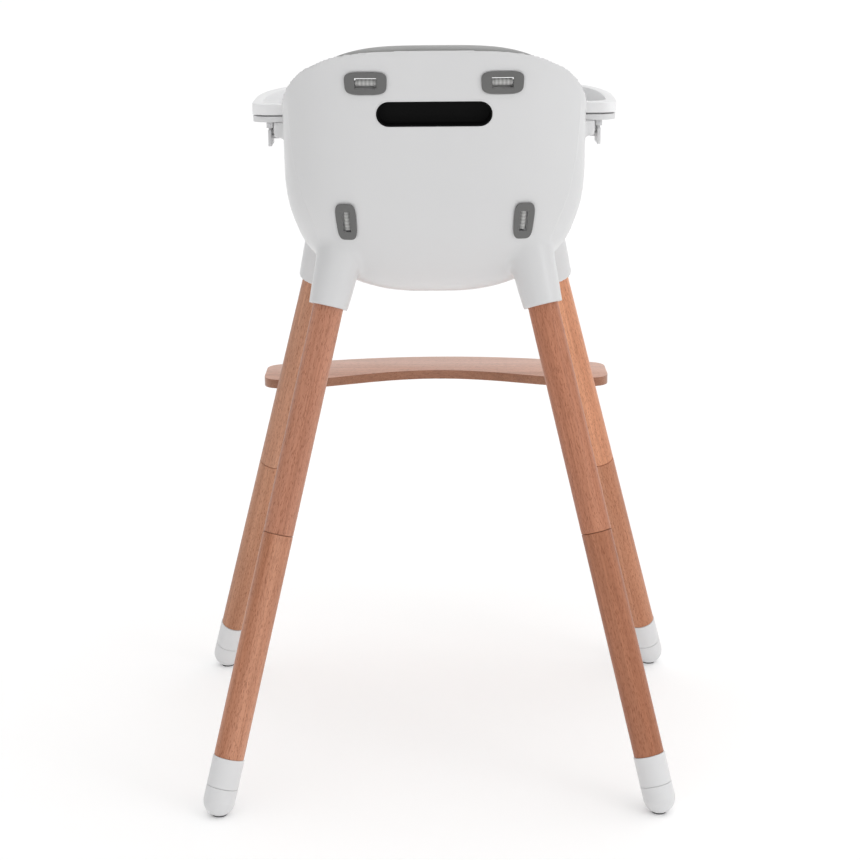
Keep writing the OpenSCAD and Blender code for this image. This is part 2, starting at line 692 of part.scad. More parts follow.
function pad_centre(side, row) = foot_of(side, row) + 2 * leg_dir(side, row);
module foot_pads() {
    color(black) set_down() each_leg() {
        p = pad_centre($side, $row);
        translate([p.x, p.y, 0]) cylinder(h = foot_pad_t, r = pad_r);
    }
}
module foot_screws() {
    color(steel) set_down() each_leg() up_leg($side, $row, 4.9) {
        cylinder(h = 3, r = 4);
        translate([0, 0, 1]) cylinder(h = 28.3, r = screw_r);
    }
}

// ---- Footrest ----
rest_back_bow = 52;    // how far the rear edge bows forward at the middle
rest_back = -158;      // Y of the rear edge where it meets the legs
rest_front = -297;     // Y of the front edge at the middle
rest_front_bow = 51;
corner = 24;
function rest_back_y(x) = rest_back - rest_back_bow * pow(1 - pow(clamp01(abs(x) / 188), 2), 1.6);
function rest_front_y(x) = rest_front + rest_front_bow * pow(abs(x) / rest_half_w, 2);
function rest_outline() = concat(
    [for (x = [-rest_half_w + corner:12.1:rest_half_w - corner]) [x, rest_back_y(x)]],
    [for (a = [90:-15:0]) [rest_half_w - corner + corner * cos(a), rest_back - corner + corner * sin(a)]],
    [for (a = [0:-15:-75])
        [rest_half_w - corner + corner * cos(a), rest_front_y(rest_half_w - corner) + corner + corner * sin(a)]],
    [for (x = [rest_half_w - corner:-12.1:-rest_half_w + corner]) [x, rest_front_y(x)]],
    [for (a = [255:-15:180])
        [-rest_half_w + corner + corner * cos(a),
         rest_front_y(rest_half_w - corner) + corner + corner * sin(a)]],
    [for (a = [180:-15:90]) [-rest_half_w + corner + corner * cos(a), rest_back - corner + corner * sin(a)]]);
function rest_leg(s) = foot_of(s, "front")
    + leg_dir(s, "front") * (rest_z + rest_t / 2 - foot_z) / leg_dir(s, "front").z;
rest_screw_r = 2.5;
rest_screw_l = 46;
// z forwards from the middle of a front leg, at the middle of the board's thickness
module at_rest_screw(s) {
    p = rest_leg(s);
    translate([p.x, p.y - 2, rest_z + rest_t / 2]) rotate([90, 0, 0]) children();
}
module footrest() {
    color(beech) set_down() difference() {
        translate([0, 0, rest_z]) linear_extrude(rest_t) polygon(rest_outline());
        for (s = SIDES) {
            up_leg(s, "front", 400) cylinder(h = 120, r = leg_r + gap);
            at_rest_screw(s) cylinder(h = rest_screw_l + 1, r = rest_screw_r + run);
        }
    }
}
module footrest_screws() {
    color(steel) set_down() for (s = SIDES) at_rest_screw(s) translate([0, 0, 1])
        cylinder(h = rest_screw_l - 1, r = rest_screw_r);
}

seat_shell();
hand_grip_cup();
upper_strap_bezels();
lower_strap_bezels();
strap_anchor_bars();
back_cushion();
seat_cushion();
shoulder_strap(1);  // shoulder_strap_left
shoulder_strap(-1);  // shoulder_strap_right
waist_strap(1);  // waist_strap_left
waist_strap(-1);  // waist_strap_right
crotch_strap();
shoulder_pads();
strap_sliders();
buckle_body();
buckle_button();
buckle_tongues();
tray_base();
tray_insert();
tray_latch(1);  // tray_latch_left
tray_latch(-1);  // tray_latch_right
latch_pins();
latch_springs();
upper_leg(1, "rear");  // upper_leg_rear_left
upper_leg(-1, "rear");  // upper_leg_rear_right
upper_leg(1, "front");  // upper_leg_front_left
upper_leg(-1, "front");  // upper_leg_front_right
lower_leg(1, "rear");  // lower_leg_rear_left
lower_leg(-1, "rear");  // lower_leg_rear_right
lower_leg(1, "front");  // lower_leg_front_left
lower_leg(-1, "front");  // lower_leg_front_right
leg_joint_studs();
leg_joint_inserts();
seat_bolts();
seat_bolt_inserts();
foot_sleeves();
foot_tips();
foot_pads();
foot_screws();
footrest();
footrest_screws();
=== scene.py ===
"""Looks of the baby high chair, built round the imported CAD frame. Metres, +Z up, front on -Y."""
import json
import math

import bmesh
import bpy
import numpy as np
from mathutils import Matrix, Vector

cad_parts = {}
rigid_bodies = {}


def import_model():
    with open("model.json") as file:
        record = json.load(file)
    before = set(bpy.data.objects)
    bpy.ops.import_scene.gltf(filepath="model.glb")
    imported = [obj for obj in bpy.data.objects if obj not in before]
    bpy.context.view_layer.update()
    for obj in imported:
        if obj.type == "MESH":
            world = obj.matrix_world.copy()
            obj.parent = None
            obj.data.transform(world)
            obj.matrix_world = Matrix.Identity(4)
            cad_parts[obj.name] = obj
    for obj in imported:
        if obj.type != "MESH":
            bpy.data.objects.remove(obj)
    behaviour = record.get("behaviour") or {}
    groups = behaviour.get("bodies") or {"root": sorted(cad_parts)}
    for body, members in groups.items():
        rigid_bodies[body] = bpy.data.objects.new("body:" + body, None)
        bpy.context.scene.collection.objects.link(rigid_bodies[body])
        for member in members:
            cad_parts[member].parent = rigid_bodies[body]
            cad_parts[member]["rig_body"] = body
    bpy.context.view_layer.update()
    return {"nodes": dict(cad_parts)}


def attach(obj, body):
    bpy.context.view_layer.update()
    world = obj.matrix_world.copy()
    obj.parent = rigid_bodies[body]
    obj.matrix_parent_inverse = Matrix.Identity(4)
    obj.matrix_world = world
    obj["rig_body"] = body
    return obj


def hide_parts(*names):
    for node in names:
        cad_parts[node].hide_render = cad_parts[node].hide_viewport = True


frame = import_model()
NODES = frame["nodes"]
MM = 0.001

# ---------------------------------------------------------------- sizes, in millimetres as in the CAD
HALF_W, BACK, FRONT = 190.0, 128.0, 185.0
BOTTOM, DEPTH, RIM_TOP, LEAN, WALL = 619.0, 165.0, 936.0, 0.14, 5.0
ARM_TOP, LIP_Z, SEAT_Y, RIM_KNEE = 835.0, 690.0, -10.0, 800.0
N_BACK, N_FRONT, N_BOWL, N_RIM = 3.5, 5.0, 2.3, 3.5
FRAME_Y = 14.3
FOOT = {"rear": (276.0, 249.0, 17.4), "front": (317.0, -249.0, 17.4)}
SOCKET = {"rear": (134.0, 97.0, 617.5), "front": (159.0, -97.0, 617.5)}
LEG_R, LEG_IN = 19.0, 55.0
SOCKET_R, SOCKET_TOP_R, SOCKET_H = 24.5, 32.0, 100.0
FAIRING_H, FAIRING_R = 35.0, 16.0
ARM_OUT, ARM_DROP, ARM_LEN = 205.0, 19.5, 112.0
GRIP_HALF_W, GRIP_H, GRIP_Z = 69.5, 31.0, 860.0
POCKET_R, POCKET_IN = 7.8, 63.8
UPPER_RECESS, LOWER_RECESS, RECESS_TAPER = (52.4, 28.9), (26.9, 50.9), 1.5
UPPER_SLOT, LOWER_SLOT = (81.0, 897.0), (108.0, 728.0)
SLOT_W, SLOT_H, UPPER_SLOT_H = 31.0, 11.0, 13.4
CROTCH_Y = -55.0
PAD_CLEAR, PAD_T, PAD_FLOOR, SEAT_LIFT = 0.6, 14.0, 17.0, 3.4
WEB_W, WEB_T = 25.0, 1.6
WEB_OFF, SIT = 22.1, 29.0
BAR_R, BAR_IN = 2.5, 4.4
BUCKLE_Y = -22.0
SIDES = (1, -1)


# ---------------------------------------------------------------- small maths
def clamp01(t):
    return min(1.0, max(0.0, t))


def ease(t):
    c = clamp01(t)
    return c * c * (3 - 2 * c)


def mix(a, b, t):
    return a + (b - a) * t


def spow(v, e):
    return math.copysign(abs(v) ** e, v)


# ---------------------------------------------------------------- the bucket's surface, offset inwards
def fullness(z, off):
    return (1 - (1 - clamp01((z - BOTTOM - off) / DEPTH)) ** N_BOWL) ** (1 / N_BOWL)


def centre_y(z):
    return SEAT_Y + LEAN * (z - BOTTOM)


def half_depth(front, off):
    return (FRONT if front else BACK) - off


def shell_point(th, z, off):
    f = fullness(z, off)
    front = math.sin(th) < 0
    n = N_FRONT if front else N_BACK
    x = (HALF_W - off) * f * spow(math.cos(th), 2 / n)
    y = centre_y(z) + half_depth(front, off) * f * spow(math.sin(th), 2 / n)
    return Vector((x, y, z))


def back_y(x, z, off):
    inner = max(0.0, fullness(z, off) ** N_BACK - (abs(x) / (HALF_W - off)) ** N_BACK)
    return centre_y(z) + half_depth(False, off) * inner ** (1 / N_BACK)


def floor_z(x, y, off):
    dy = y - SEAT_Y
    front = dy < 0
    n = N_FRONT if front else N_BACK
    r = ((abs(x) / (HALF_W - off)) ** n + (abs(dy) / half_depth(front, off)) ** n) ** (1 / n)
    return BOTTOM + off + DEPTH * (1 - (1 - min(0.98, r) ** N_BOWL) ** (1 / N_BOWL))


def rim_z(th):
    def outline(x):
        return RIM_KNEE + (RIM_TOP - RIM_KNEE) * (1 - (x / (HALF_W + 2)) ** N_RIM) ** (1 / N_RIM)
    s = -math.sin(th)
    if s <= 0:
        return mix(ARM_TOP, outline(HALF_W * abs(math.cos(th)) ** (2 / N_BACK)), ease(-s / 0.1))
    return mix(ARM_TOP, LIP_Z, ease((s - 0.62) / 0.34))


def on_back(x, z):
    """Matrix of a frame on the backrest's rear face: x along it, y up it, z out of it. Millimetres."""
    p = Vector((x, back_y(x, z, 0), z))
    u = Vector((-1, (back_y(x - 1, z, 0) - back_y(x + 1, z, 0)) / 2, 0)).normalized()
    up = Vector((0, (back_y(x, z + 1, 0) - back_y(x, z - 1, 0)) / 2, 1)).normalized()
    n = u.cross(up).normalized()
    v = n.cross(u)
    return Matrix(((u.x, v.x, n.x, p.x), (u.y, v.y, n.y, p.y), (u.z, v.z, n.z, p.z), (0, 0, 0, 1)))


def leg_frame(side, row, d=0.0):
    """Matrix with z up the leg's axis, at distance d from the foot's centre. Millimetres."""
    foot = Vector((side * FOOT[row][0], FOOT[row][1], FOOT[row][2]))
    top = Vector((side * SOCKET[row][0], SOCKET[row][1], SOCKET[row][2]))
    w = (top - foot).normalized()
    u = Vector((0, 1, 0)).cross(w).normalized()
    v = w.cross(u)
    p = foot + w * d
    return Matrix(((u.x, v.x, w.x, p.x), (u.y, v.y, w.y, p.y), (u.z, v.z, w.z, p.z), (0, 0, 0, 1)))


def leg_length(row):
    return (Vector(SOCKET[row]) - Vector(FOOT[row])).length


# ---------------------------------------------------------------- mesh helpers
def new_object(name, verts, faces, smooth=True):
    """A mesh object from points in the chair's own millimetres, set down on its footprint's centre."""
    mesh = bpy.data.meshes.new(name)
    mesh.from_pydata([(v[0] * MM, (v[1] + FRAME_Y) * MM, v[2] * MM) for v in verts], [], faces)
    mesh.update()
    obj = bpy.data.objects.new(name, mesh)
    bpy.context.scene.collection.objects.link(obj)
    fix_normals(obj)
    if smooth:
        mesh.shade_smooth()
    return obj


def fix_normals(obj):
    bm = bmesh.new()
    bm.from_mesh(obj.data)
    bmesh.ops.recalc_face_normals(bm, faces=bm.faces)
    bm.to_mesh(obj.data)
    bm.free()


def sharpen(obj, degrees=32):
    obj.data.set_sharp_from_angle(angle=math.radians(degrees))


def apply_modifiers(obj):
    graph = bpy.context.evaluated_depsgraph_get()
    mesh = bpy.data.meshes.new_from_object(obj.evaluated_get(graph), depsgraph=graph)
    old = obj.data
    obj.modifiers.clear()
    obj.data = mesh
    bpy.data.meshes.remove(old)


def boolean(obj, tool, operation):
    mod = obj.modifiers.new("cut", "BOOLEAN")
    mod.operation = operation
    mod.solver = "MANIFOLD"
    mod.object = tool
    apply_modifiers(obj)
    bpy.data.objects.remove(tool)


def rings_object(name, rings, closed=True, cap_start=True, cap_end=True):
    """Skins a list of loops, each with the same number of points."""
    n = len(rings[0])
    verts = [p for ring in rings for p in ring]
    faces = []
    for k in range(len(rings) - 1):
        for i in range(n if closed else n - 1):
            j = (i + 1) % n
            faces.append((k * n + i, k * n + j, (k + 1) * n + j, (k + 1) * n + i))
    if cap_start:
        faces.append(tuple(range(n - 1, -1, -1)))
    if cap_end:
        faces.append(tuple((len(rings) - 1) * n + i for i in range(n)))
    return new_object(name, verts, faces)


def place(points, matrix):
    return [matrix @ Vector(p) for p in points]


def stadium(half_w, h, z, steps=16):
    r = h / 2
    out = []
    for s, start in ((1, -90), (-1, 90)):
        for i in range(steps + 1):
            a = math.radians(start + 180 * i / steps)
            out.append((s * (half_w - r) + r * math.cos(a), r * math.sin(a), z))
    return out


def barrel_outline(w, h, taper, z, steps=64):
    out = []
    for i in range(steps):
        a = 2 * math.pi * i / steps
        x, y = spow(math.cos(a), 0.5), spow(math.sin(a), 0.5)
        out.append((x * (w + taper * y) / 2, y * h / 2, z))
    return out


def prism(name, outline_at, low, high, matrix):
    return rings_object(name, [place(outline_at(low), matrix), place(outline_at(high), matrix)])


def cone(name, r1, r2, h, matrix, low=0.0, segments=96):
    def ring(r, z):
        return [(r * math.cos(2 * math.pi * i / segments), r * math.sin(2 * math.pi * i / segments), z)
                for i in range(segments)]
    return rings_object(name, [place(ring(r1, low), matrix), place(ring(r2, low + h), matrix)])


def block(name, x, y, z, size, matrix=None):
    w, d, h = (s / 2 for s in size)
    matrix = matrix or Matrix.Identity(4)
    rings = [place([(x - w, y - d, z + k * h), (x + w, y - d, z + k * h),
                    (x + w, y + d, z + k * h), (x - w, y + d, z + k * h)], matrix) for k in (-1, 1)]
    return rings_object(name, rings)


# ---------------------------------------------------------------- materials
def new_material(name, color, roughness, metallic=0.0, specular=0.5, coat=0.0, sheen=0.0):
    mat = bpy.data.materials.new(name)
    mat.use_nodes = True
    shader = mat.node_tree.nodes["Principled BSDF"]
    shader.inputs["Base Color"].default_value = (*color, 1)
    shader.inputs["Roughness"].default_value = roughness
    shader.inputs["Metallic"].default_value = metallic
    shader.inputs["Specular IOR Level"].default_value = specular
    shader.inputs["Coat Weight"].default_value = coat
    shader.inputs["Sheen Weight"].default_value = sheen
    return mat, mat.node_tree, shader


def texture_space(tree, scale=(1, 1, 1), rotation=(0, 0, 0)):
    coords = tree.nodes.new("ShaderNodeTexCoord")
    mapping = tree.nodes.new("ShaderNodeMapping")
    mapping.inputs["Scale"].default_value = scale
    mapping.inputs["Rotation"].default_value = rotation
    tree.links.new(coords.outputs["Object"], mapping.inputs["Vector"])
    return mapping.outputs["Vector"]


def noise(tree, vector, scale, detail=4.0, roughness=0.55):
    node = tree.nodes.new("ShaderNodeTexNoise")
    node.inputs["Scale"].default_value = scale
    node.inputs["Detail"].default_value = detail
    node.inputs["Roughness"].default_value = roughness
    tree.links.new(vector, node.inputs["Vector"])
    return node.outputs["Fac"]


def ramp(tree, value, stops):
    node = tree.nodes.new("ShaderNodeValToRGB")
    while len(node.color_ramp.elements) < len(stops):
        node.color_ramp.elements.new(0.5)
    for element, (position, color) in zip(node.color_ramp.elements, stops):
        element.position = position
        element.color = (*color, 1) if len(color) == 3 else color
    tree.links.new(value, node.inputs["Fac"])
    return node.outputs["Color"]


def spread(tree, value, low, high):
    node = tree.nodes.new("ShaderNodeMapRange")
    node.inputs["To Min"].default_value = low
    node.inputs["To Max"].default_value = high
    tree.links.new(value, node.inputs["Value"])
    return node.outputs["Result"]


def bump(tree, shader, height, strength, distance):
    node = tree.nodes.new("ShaderNodeBump")
    node.inputs["Strength"].default_value = strength
    node.inputs["Distance"].default_value = distance
    tree.links.new(height, node.inputs["Height"])
    tree.links.new(node.outputs["Normal"], shader.inputs["Normal"])
    return node


def moulded_plastic(name, color, roughness, grain=900, depth=0.00004, spread_by=0.05, coat=0.0):
    """Injection-moulded plastic: a fine spark texture, with slow changes of gloss and of tone."""
    mat, tree, shader = new_material(name, color, roughness, coat=coat)
    space = texture_space(tree)
    broad = noise(tree, space, 9, detail=3)
    varied = spread(tree, broad, roughness - spread_by, roughness + spread_by)
    tree.links.new(varied, shader.inputs["Roughness"])
    tone = ramp(tree, noise(tree, space, 5, detail=2),
                [(0.3, tuple(c * 0.985 for c in color)), (0.7, tuple(min(1, c * 1.01) for c in color))])
    tree.links.new(tone, shader.inputs["Base Color"])
    bump(tree, shader, noise(tree, space, grain, detail=2), 0.25, depth)
    return mat


def mixed(tree, a, b, factor, blend="MIX"):
    node = tree.nodes.new("ShaderNodeMix")
    node.data_type = "RGBA"
    node.blend_type = blend
    if isinstance(factor, float):
        node.inputs["Factor"].default_value = factor
    else:
        tree.links.new(factor, node.inputs["Factor"])
    for socket, value in (("A", a), ("B", b)):
        target = [s for s in node.inputs if s.name == socket and s.type == "RGBA"][0]
        if isinstance(value, tuple):
            target.default_value = (*value, 1)
        else:
            tree.links.new(value, target)
    return [s for s in node.outputs if s.type == "RGBA"][0]


def beech(name, direction, shift, light, dark, coat=0.05, edge=None):
    """Steamed beech: long soft grain along direction, with the short dark ray flecks of the species."""
    mat, tree, shader = new_material(name, light, 0.46, specular=0.3, coat=coat)
    shader.inputs["Coat Roughness"].default_value = 0.35
    coords = tree.nodes.new("ShaderNodeTexCoord")
    turn = Vector(direction).normalized().rotation_difference(Vector((0, 0, 1))).to_euler()
    align = tree.nodes.new("ShaderNodeMapping")
    align.inputs["Rotation"].default_value = turn
    align.inputs["Location"].default_value = shift
    tree.links.new(coords.outputs["Object"], align.inputs["Vector"])

    def stretched(scale):
        node = tree.nodes.new("ShaderNodeMapping")
        node.inputs["Scale"].default_value = scale
        tree.links.new(align.outputs["Vector"], node.inputs["Vector"])
        return node.outputs["Vector"]
    bands = noise(tree, stretched((46, 46, 1.6)), 1.0, detail=5, roughness=0.6)
    fibres = noise(tree, stretched((420, 420, 9)), 1.0, detail=4, roughness=0.6)
    flecks = noise(tree, stretched((1500, 1500, 170)), 1.0, detail=1, roughness=0.4)
    middle = tuple((a + b) / 2 for a, b in zip(light, dark))
    base = ramp(tree, bands, [(0.32, dark), (0.5, middle), (0.66, light)])
    streaks = ramp(tree, fibres, [(0.35, (0.82, 0.8, 0.78)), (0.62, (1, 1, 1))])
    spots = ramp(tree, flecks, [(0.36, (0.62, 0.52, 0.46)), (0.42, (1, 1, 1))])
    grained = mixed(tree, mixed(tree, base, streaks, 1.0, "MULTIPLY"), spots, 0.85, "MULTIPLY")
    # With edge given, faces that face sideways are darkened by it: partly the darker sawn end of the board,
    # partly painted shade on the side faces.
    if edge:
        faces = tree.nodes.new("ShaderNodeSeparateXYZ")
        tree.links.new(tree.nodes.new("ShaderNodeNewGeometry").outputs["True Normal"], faces.inputs["Vector"])
        level = tree.nodes.new("ShaderNodeMath")
        level.operation = "ABSOLUTE"
        tree.links.new(faces.outputs["Z"], level.inputs[0])
        sawn_end_and_side_shade = ramp(tree, level.outputs["Value"], [(0.5, edge), (0.85, (1, 1, 1))])
        grained = mixed(tree, grained, sawn_end_and_side_shade, 1.0, "MULTIPLY")
    tree.links.new(grained, shader.inputs["Base Color"])
    tree.links.new(spread(tree, fibres, 0.34, 0.52), shader.inputs["Roughness"])
    bump(tree, shader, fibres, 0.35, 0.00008)
    return mat


def grained_cover(name, color):
    """Coated polyurethane cover: a pebble grain with a soft sheen."""
    mat, tree, shader = new_material(name, color, 0.5, sheen=0.15)
    shader.inputs["Sheen Roughness"].default_value = 0.5
    space = texture_space(tree)
    cells = tree.nodes.new("ShaderNodeTexVoronoi")
    cells.feature = "SMOOTH_F1"
    cells.inputs["Scale"].default_value = 620
    tree.links.new(space, cells.inputs["Vector"])
    tone = ramp(tree, noise(tree, space, 14, detail=4),
                [(0.3, tuple(c * 0.95 for c in color)), (0.7, tuple(min(1, c * 1.03) for c in color))])
    tree.links.new(tone, shader.inputs["Base Color"])
    tree.links.new(spread(tree, cells.outputs["Distance"], 0.42, 0.6), shader.inputs["Roughness"])
    bump(tree, shader, cells.outputs["Distance"], 0.5, 0.00018)
    return mat


def woven_webbing(name, color):
    """Narrow polyester webbing: fine ribs across its length and a dull surface."""
    mat, tree, shader = new_material(name, color, 0.8, sheen=0.3)
    shader.inputs["Sheen Roughness"].default_value = 0.6
    uv = tree.nodes.new("ShaderNodeTexCoord")
    mapping = tree.nodes.new("ShaderNodeMapping")
    tree.links.new(uv.outputs["UV"], mapping.inputs["Vector"])
    ribs = tree.nodes.new("ShaderNodeTexWave")
    ribs.bands_direction = "X"
    ribs.inputs["Scale"].default_value = 230
    ribs.inputs["Distortion"].default_value = 0.6
    tree.links.new(mapping.outputs["Vector"], ribs.inputs["Vector"])
    across = tree.nodes.new("ShaderNodeTexWave")
    across.bands_direction = "Y"
    across.inputs["Scale"].default_value = 67
    tree.links.new(mapping.outputs["Vector"], across.inputs["Vector"])
    weave = mixed(tree, ribs.outputs["Color"], across.outputs["Color"], 0.5)
    tone = mixed(tree, tuple(c * 0.66 for c in color), color, across.outputs["Fac"])
    tree.links.new(tone, shader.inputs["Base Color"])
    bump(tree, shader, weave, 0.6, 0.0003)
    return mat


def plated_steel(name):
    mat, tree, shader = new_material(name, (0.58, 0.58, 0.6), 0.32, metallic=1.0)
    space = texture_space(tree)
    tree.links.new(spread(tree, noise(tree, space, 160, detail=5), 0.22, 0.42), shader.inputs["Roughness"])
    bump(tree, shader, noise(tree, space, 700, detail=2), 0.2, 0.00003)
    return mat


BEECH_LIGHT, BEECH_DARK = (0.56, 0.3, 0.205), (0.43, 0.205, 0.128)
LOWER_LIGHT, LOWER_DARK = (0.53, 0.272, 0.176), (0.4, 0.178, 0.102)
shell_white = moulded_plastic("shell_white", (0.66, 0.66, 0.664), 0.34, grain=1100, depth=0.00003, coat=0.15)
part_white = moulded_plastic("part_white", (0.71, 0.71, 0.715), 0.4, grain=1000, depth=0.00004)
tray_white = moulded_plastic("tray_white", (0.85, 0.85, 0.855), 0.36, grain=1000, depth=0.00003, coat=0.1)
grey_plastic = moulded_plastic("grey_plastic", (0.125, 0.125, 0.123), 0.5, grain=1300, depth=0.00006)
black_plastic = moulded_plastic("black_plastic", (0.003, 0.003, 0.003), 0.7, grain=1300, depth=0.00005)
black_plastic.node_tree.nodes["Principled BSDF"].inputs["Specular IOR Level"].default_value = 0.12
rubber = moulded_plastic("rubber_pad", (0.03, 0.03, 0.03), 0.75, grain=1500, depth=0.0001)
cover_grey = grained_cover("cushion_cover", (0.42, 0.42, 0.415))
webbing_grey = woven_webbing("webbing", (0.5, 0.5, 0.49))
steel = plated_steel("plated_steel")


def paint(obj, mat):
    obj.data.materials.clear()
    obj.data.materials.append(mat)


def finish_piece(obj, mat, body="chair", replaces=()):
    paint(obj, mat)
    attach(obj, body)
    if replaces:
        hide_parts(*replaces)
    return obj


# ---------------------------------------------------------------- camera, floor and light
def make_camera():
    """Behind the chair and a little above it, as a person standing there sees it."""
    pitch, yaw, roll = 0.26314, -0.003175, -0.0081
    right = Vector((-math.cos(yaw), math.sin(yaw), 0))
    ahead = Vector((-math.sin(yaw), -math.cos(yaw), 0))
    forward = ahead * math.cos(pitch) + Vector((0, 0, -math.sin(pitch)))
    up = ahead * math.sin(pitch) + Vector((0, 0, math.cos(pitch)))
    turned_right = right * math.cos(roll) + up * math.sin(roll)
    turned_up = up * math.cos(roll) - right * math.sin(roll)
    data = bpy.data.cameras.new("camera")
    data.sensor_width = 36
    data.lens = 1900 / 860 * data.sensor_width
    camera = bpy.data.objects.new("camera", data)
    matrix = Matrix((turned_right, turned_up, -forward)).transposed().to_4x4()
    matrix.translation = Vector((0.86, 2427.85 + FRAME_Y, 1084.8)) * MM
    camera.matrix_world = matrix
    bpy.context.scene.collection.objects.link(camera)
    bpy.context.scene.camera = camera


def area_light(name, place_at, target, size, power):
    data = bpy.data.lights.new(name, "AREA")
    data.energy = power
    data.size = size
    light = bpy.data.objects.new(name, data)
    light.location = place_at
    light.rotation_euler = (Vector(target) - Vector(place_at)).to_track_quat("-Z", "Y").to_euler()
    bpy.context.scene.collection.objects.link(light)


def make_world():
    """An even white surround; overhead it is a big soft source, stronger from the -X side."""
    world = bpy.data.worlds.new("studio")
    bpy.context.scene.world = world
    world.use_nodes = True
    tree = world.node_tree
    background = tree.nodes["Background"]
    coords = tree.nodes.new("ShaderNodeTexCoord")
    parts = tree.nodes.new("ShaderNodeSeparateXYZ")
    tree.links.new(coords.outputs["Generated"], parts.inputs["Vector"])

    def map_range(value, low, high, to_low, to_high):
        node = tree.nodes.new("ShaderNodeMapRange")
        for key, number in (("From Min", low), ("From Max", high), ("To Min", to_low), ("To Max", to_high)):
            node.inputs[key].default_value = number
        tree.links.new(value, node.inputs["Value"])
        return node.outputs["Result"]

    def blend_values(a, b, factor):
        node = tree.nodes.new("ShaderNodeMix")
        node.data_type = "FLOAT"
        for index, value in ((0, factor), (2, a), (3, b)):
            if isinstance(value, float):
                node.inputs[index].default_value = value
            else:
                tree.links.new(value, node.inputs[index])
        return node.outputs[0]
    height = parts.outputs["Z"]
    sides = map_range(parts.outputs["X"], -0.8, 0.8, 0.85, 0.1)
    left_dark = map_range(parts.outputs["X"], 0.55, 0.9, 1.0, 0.45)
    right_dark = map_range(parts.outputs["X"], -0.9, -0.55, 0.7, 1.0)
    horizon = blend_values(left_dark, right_dark, map_range(parts.outputs["X"], -0.01, 0.01, 1.0, 0.0))
    band = blend_values(1.0, horizon, map_range(height, 0.05, 0.13, 0.0, 1.0))
    lower = blend_values(band, sides, map_range(height, 0.15, 0.4, 0.0, 1.0))
    light = blend_values(lower, 1.5, map_range(height, 0.6, 0.85, 0.0, 1.0))
    background.inputs["Color"].default_value = (1, 1, 1, 1)
    tree.links.new(light, background.inputs["Strength"])


def make_studio():
    bpy.context.scene.view_settings.view_transform = "Standard"
    make_world()
    reach = 30000
    corners = [(-reach, -reach, 0), (reach, -reach, 0), (reach, reach, 0), (-reach, reach, 0)]
    floor = new_object("floor", corners, [(0, 1, 2, 3)])
    floor_mat, tree, shader = new_material("floor", (0.93, 0.93, 0.93), 0.8, specular=0.1)
    tone = ramp(tree, noise(tree, texture_space(tree), 1.5, detail=2),
                [(0.3, (0.92, 0.92, 0.92)), (0.7, (0.94, 0.94, 0.94))])
    tree.links.new(tone, shader.inputs["Base Color"])
    shader.inputs["Emission Color"].default_value = (1, 1, 1, 1)
    shader.inputs["Emission Strength"].default_value = 0.12
    paint(floor, floor_mat)
    area_light("key", (-2.6, 2.0, 1.8), (0, 0, 0.7), 1.2, 9)


# ---------------------------------------------------------------- seat shell
def bucket(name, off, extra, segments=200, levels=64):
    low = BOTTOM + off
    angles = []
    for i in range(segments):
        q = 2 * math.pi * i / segments
        angles.append(q - math.radians(12) * math.sin(4 * q) / (1 + 0.5 * abs(math.sin(2 * q))))
    rings = []
    for k in range(1, levels + 1):
        t = (k / levels) ** 1.7
        rings.append([shell_point(th, mix(low, rim_z(th) + extra, t), off) for th in angles])
    n = segments
    verts = [Vector((0, SEAT_Y, low))] + [p for ring in rings for p in ring]
    verts.append(Vector((0, SEAT_Y, ARM_TOP + extra)))
    faces = [(0, 1 + (i + 1) % n, 1 + i) for i in range(n)]
    for k in range(levels - 1):
        for i in range(n):
            a, b = 1 + k * n + i, 1 + k * n + (i + 1) % n
            faces.append((a, b, b + n, a + n))
    last = len(verts) - 1
    faces += [(last, last - n + i, last - n + (i + 1) % n) for i in range(n)]
    return new_object(name, verts, faces)


def arm_rail(side):
    inner, front_r, back_r = 168, 8, 19
    outline = [(inner, -ARM_LEN), (ARM_OUT - front_r, -ARM_LEN)]
    outline += [(ARM_OUT - front_r + front_r * math.sin(a), -ARM_LEN + front_r - front_r * math.cos(a))
                for a in (math.radians(10 * i) for i in range(1, 10))]
    outline += [(ARM_OUT - back_r + back_r * math.cos(a), -back_r + back_r * math.sin(a))
                for a in (math.radians(9 * i) for i in range(11))]
    outline += [(inner, 0)]
    return rings_object("arm_rail", [[(side * x, y, z) for x, y in outline]
                                     for z in (ARM_TOP - ARM_DROP, ARM_TOP)])


def remesh(obj, voxel):
    mod = obj.modifiers.new("remesh", "REMESH")
    mod.mode = "VOXEL"
    mod.voxel_size = voxel
    apply_modifiers(obj)


def mesh_arrays(obj):
    mesh = obj.data
    co = np.empty(len(mesh.vertices) * 3)
    mesh.vertices.foreach_get("co", co)
    edges = np.empty(len(mesh.edges) * 2, dtype=int)
    mesh.edges.foreach_get("vertices", edges)
    return co.reshape(-1, 3), edges.reshape(-1, 2)


def relax(co, edges, weight, rounds):
    """Laplacian smoothing of co, by weight at each point. Without weights, a step back stops it shrinking."""
    a, b = edges[:, 0], edges[:, 1]
    count = np.bincount(a, minlength=len(co)) + np.bincount(b, minlength=len(co))
    steps = (0.6, -0.62) if weight is None else (0.6,)
    for _ in range(rounds):
        for step in steps:
            total = np.zeros_like(co)
            for k in range(3):
                total[:, k] = (np.bincount(a, co[b, k], minlength=len(co))
                               + np.bincount(b, co[a, k], minlength=len(co)))
            delta = total / count[:, None] - co
            co += step * delta * (1 if weight is None else weight[:, None])
    return co


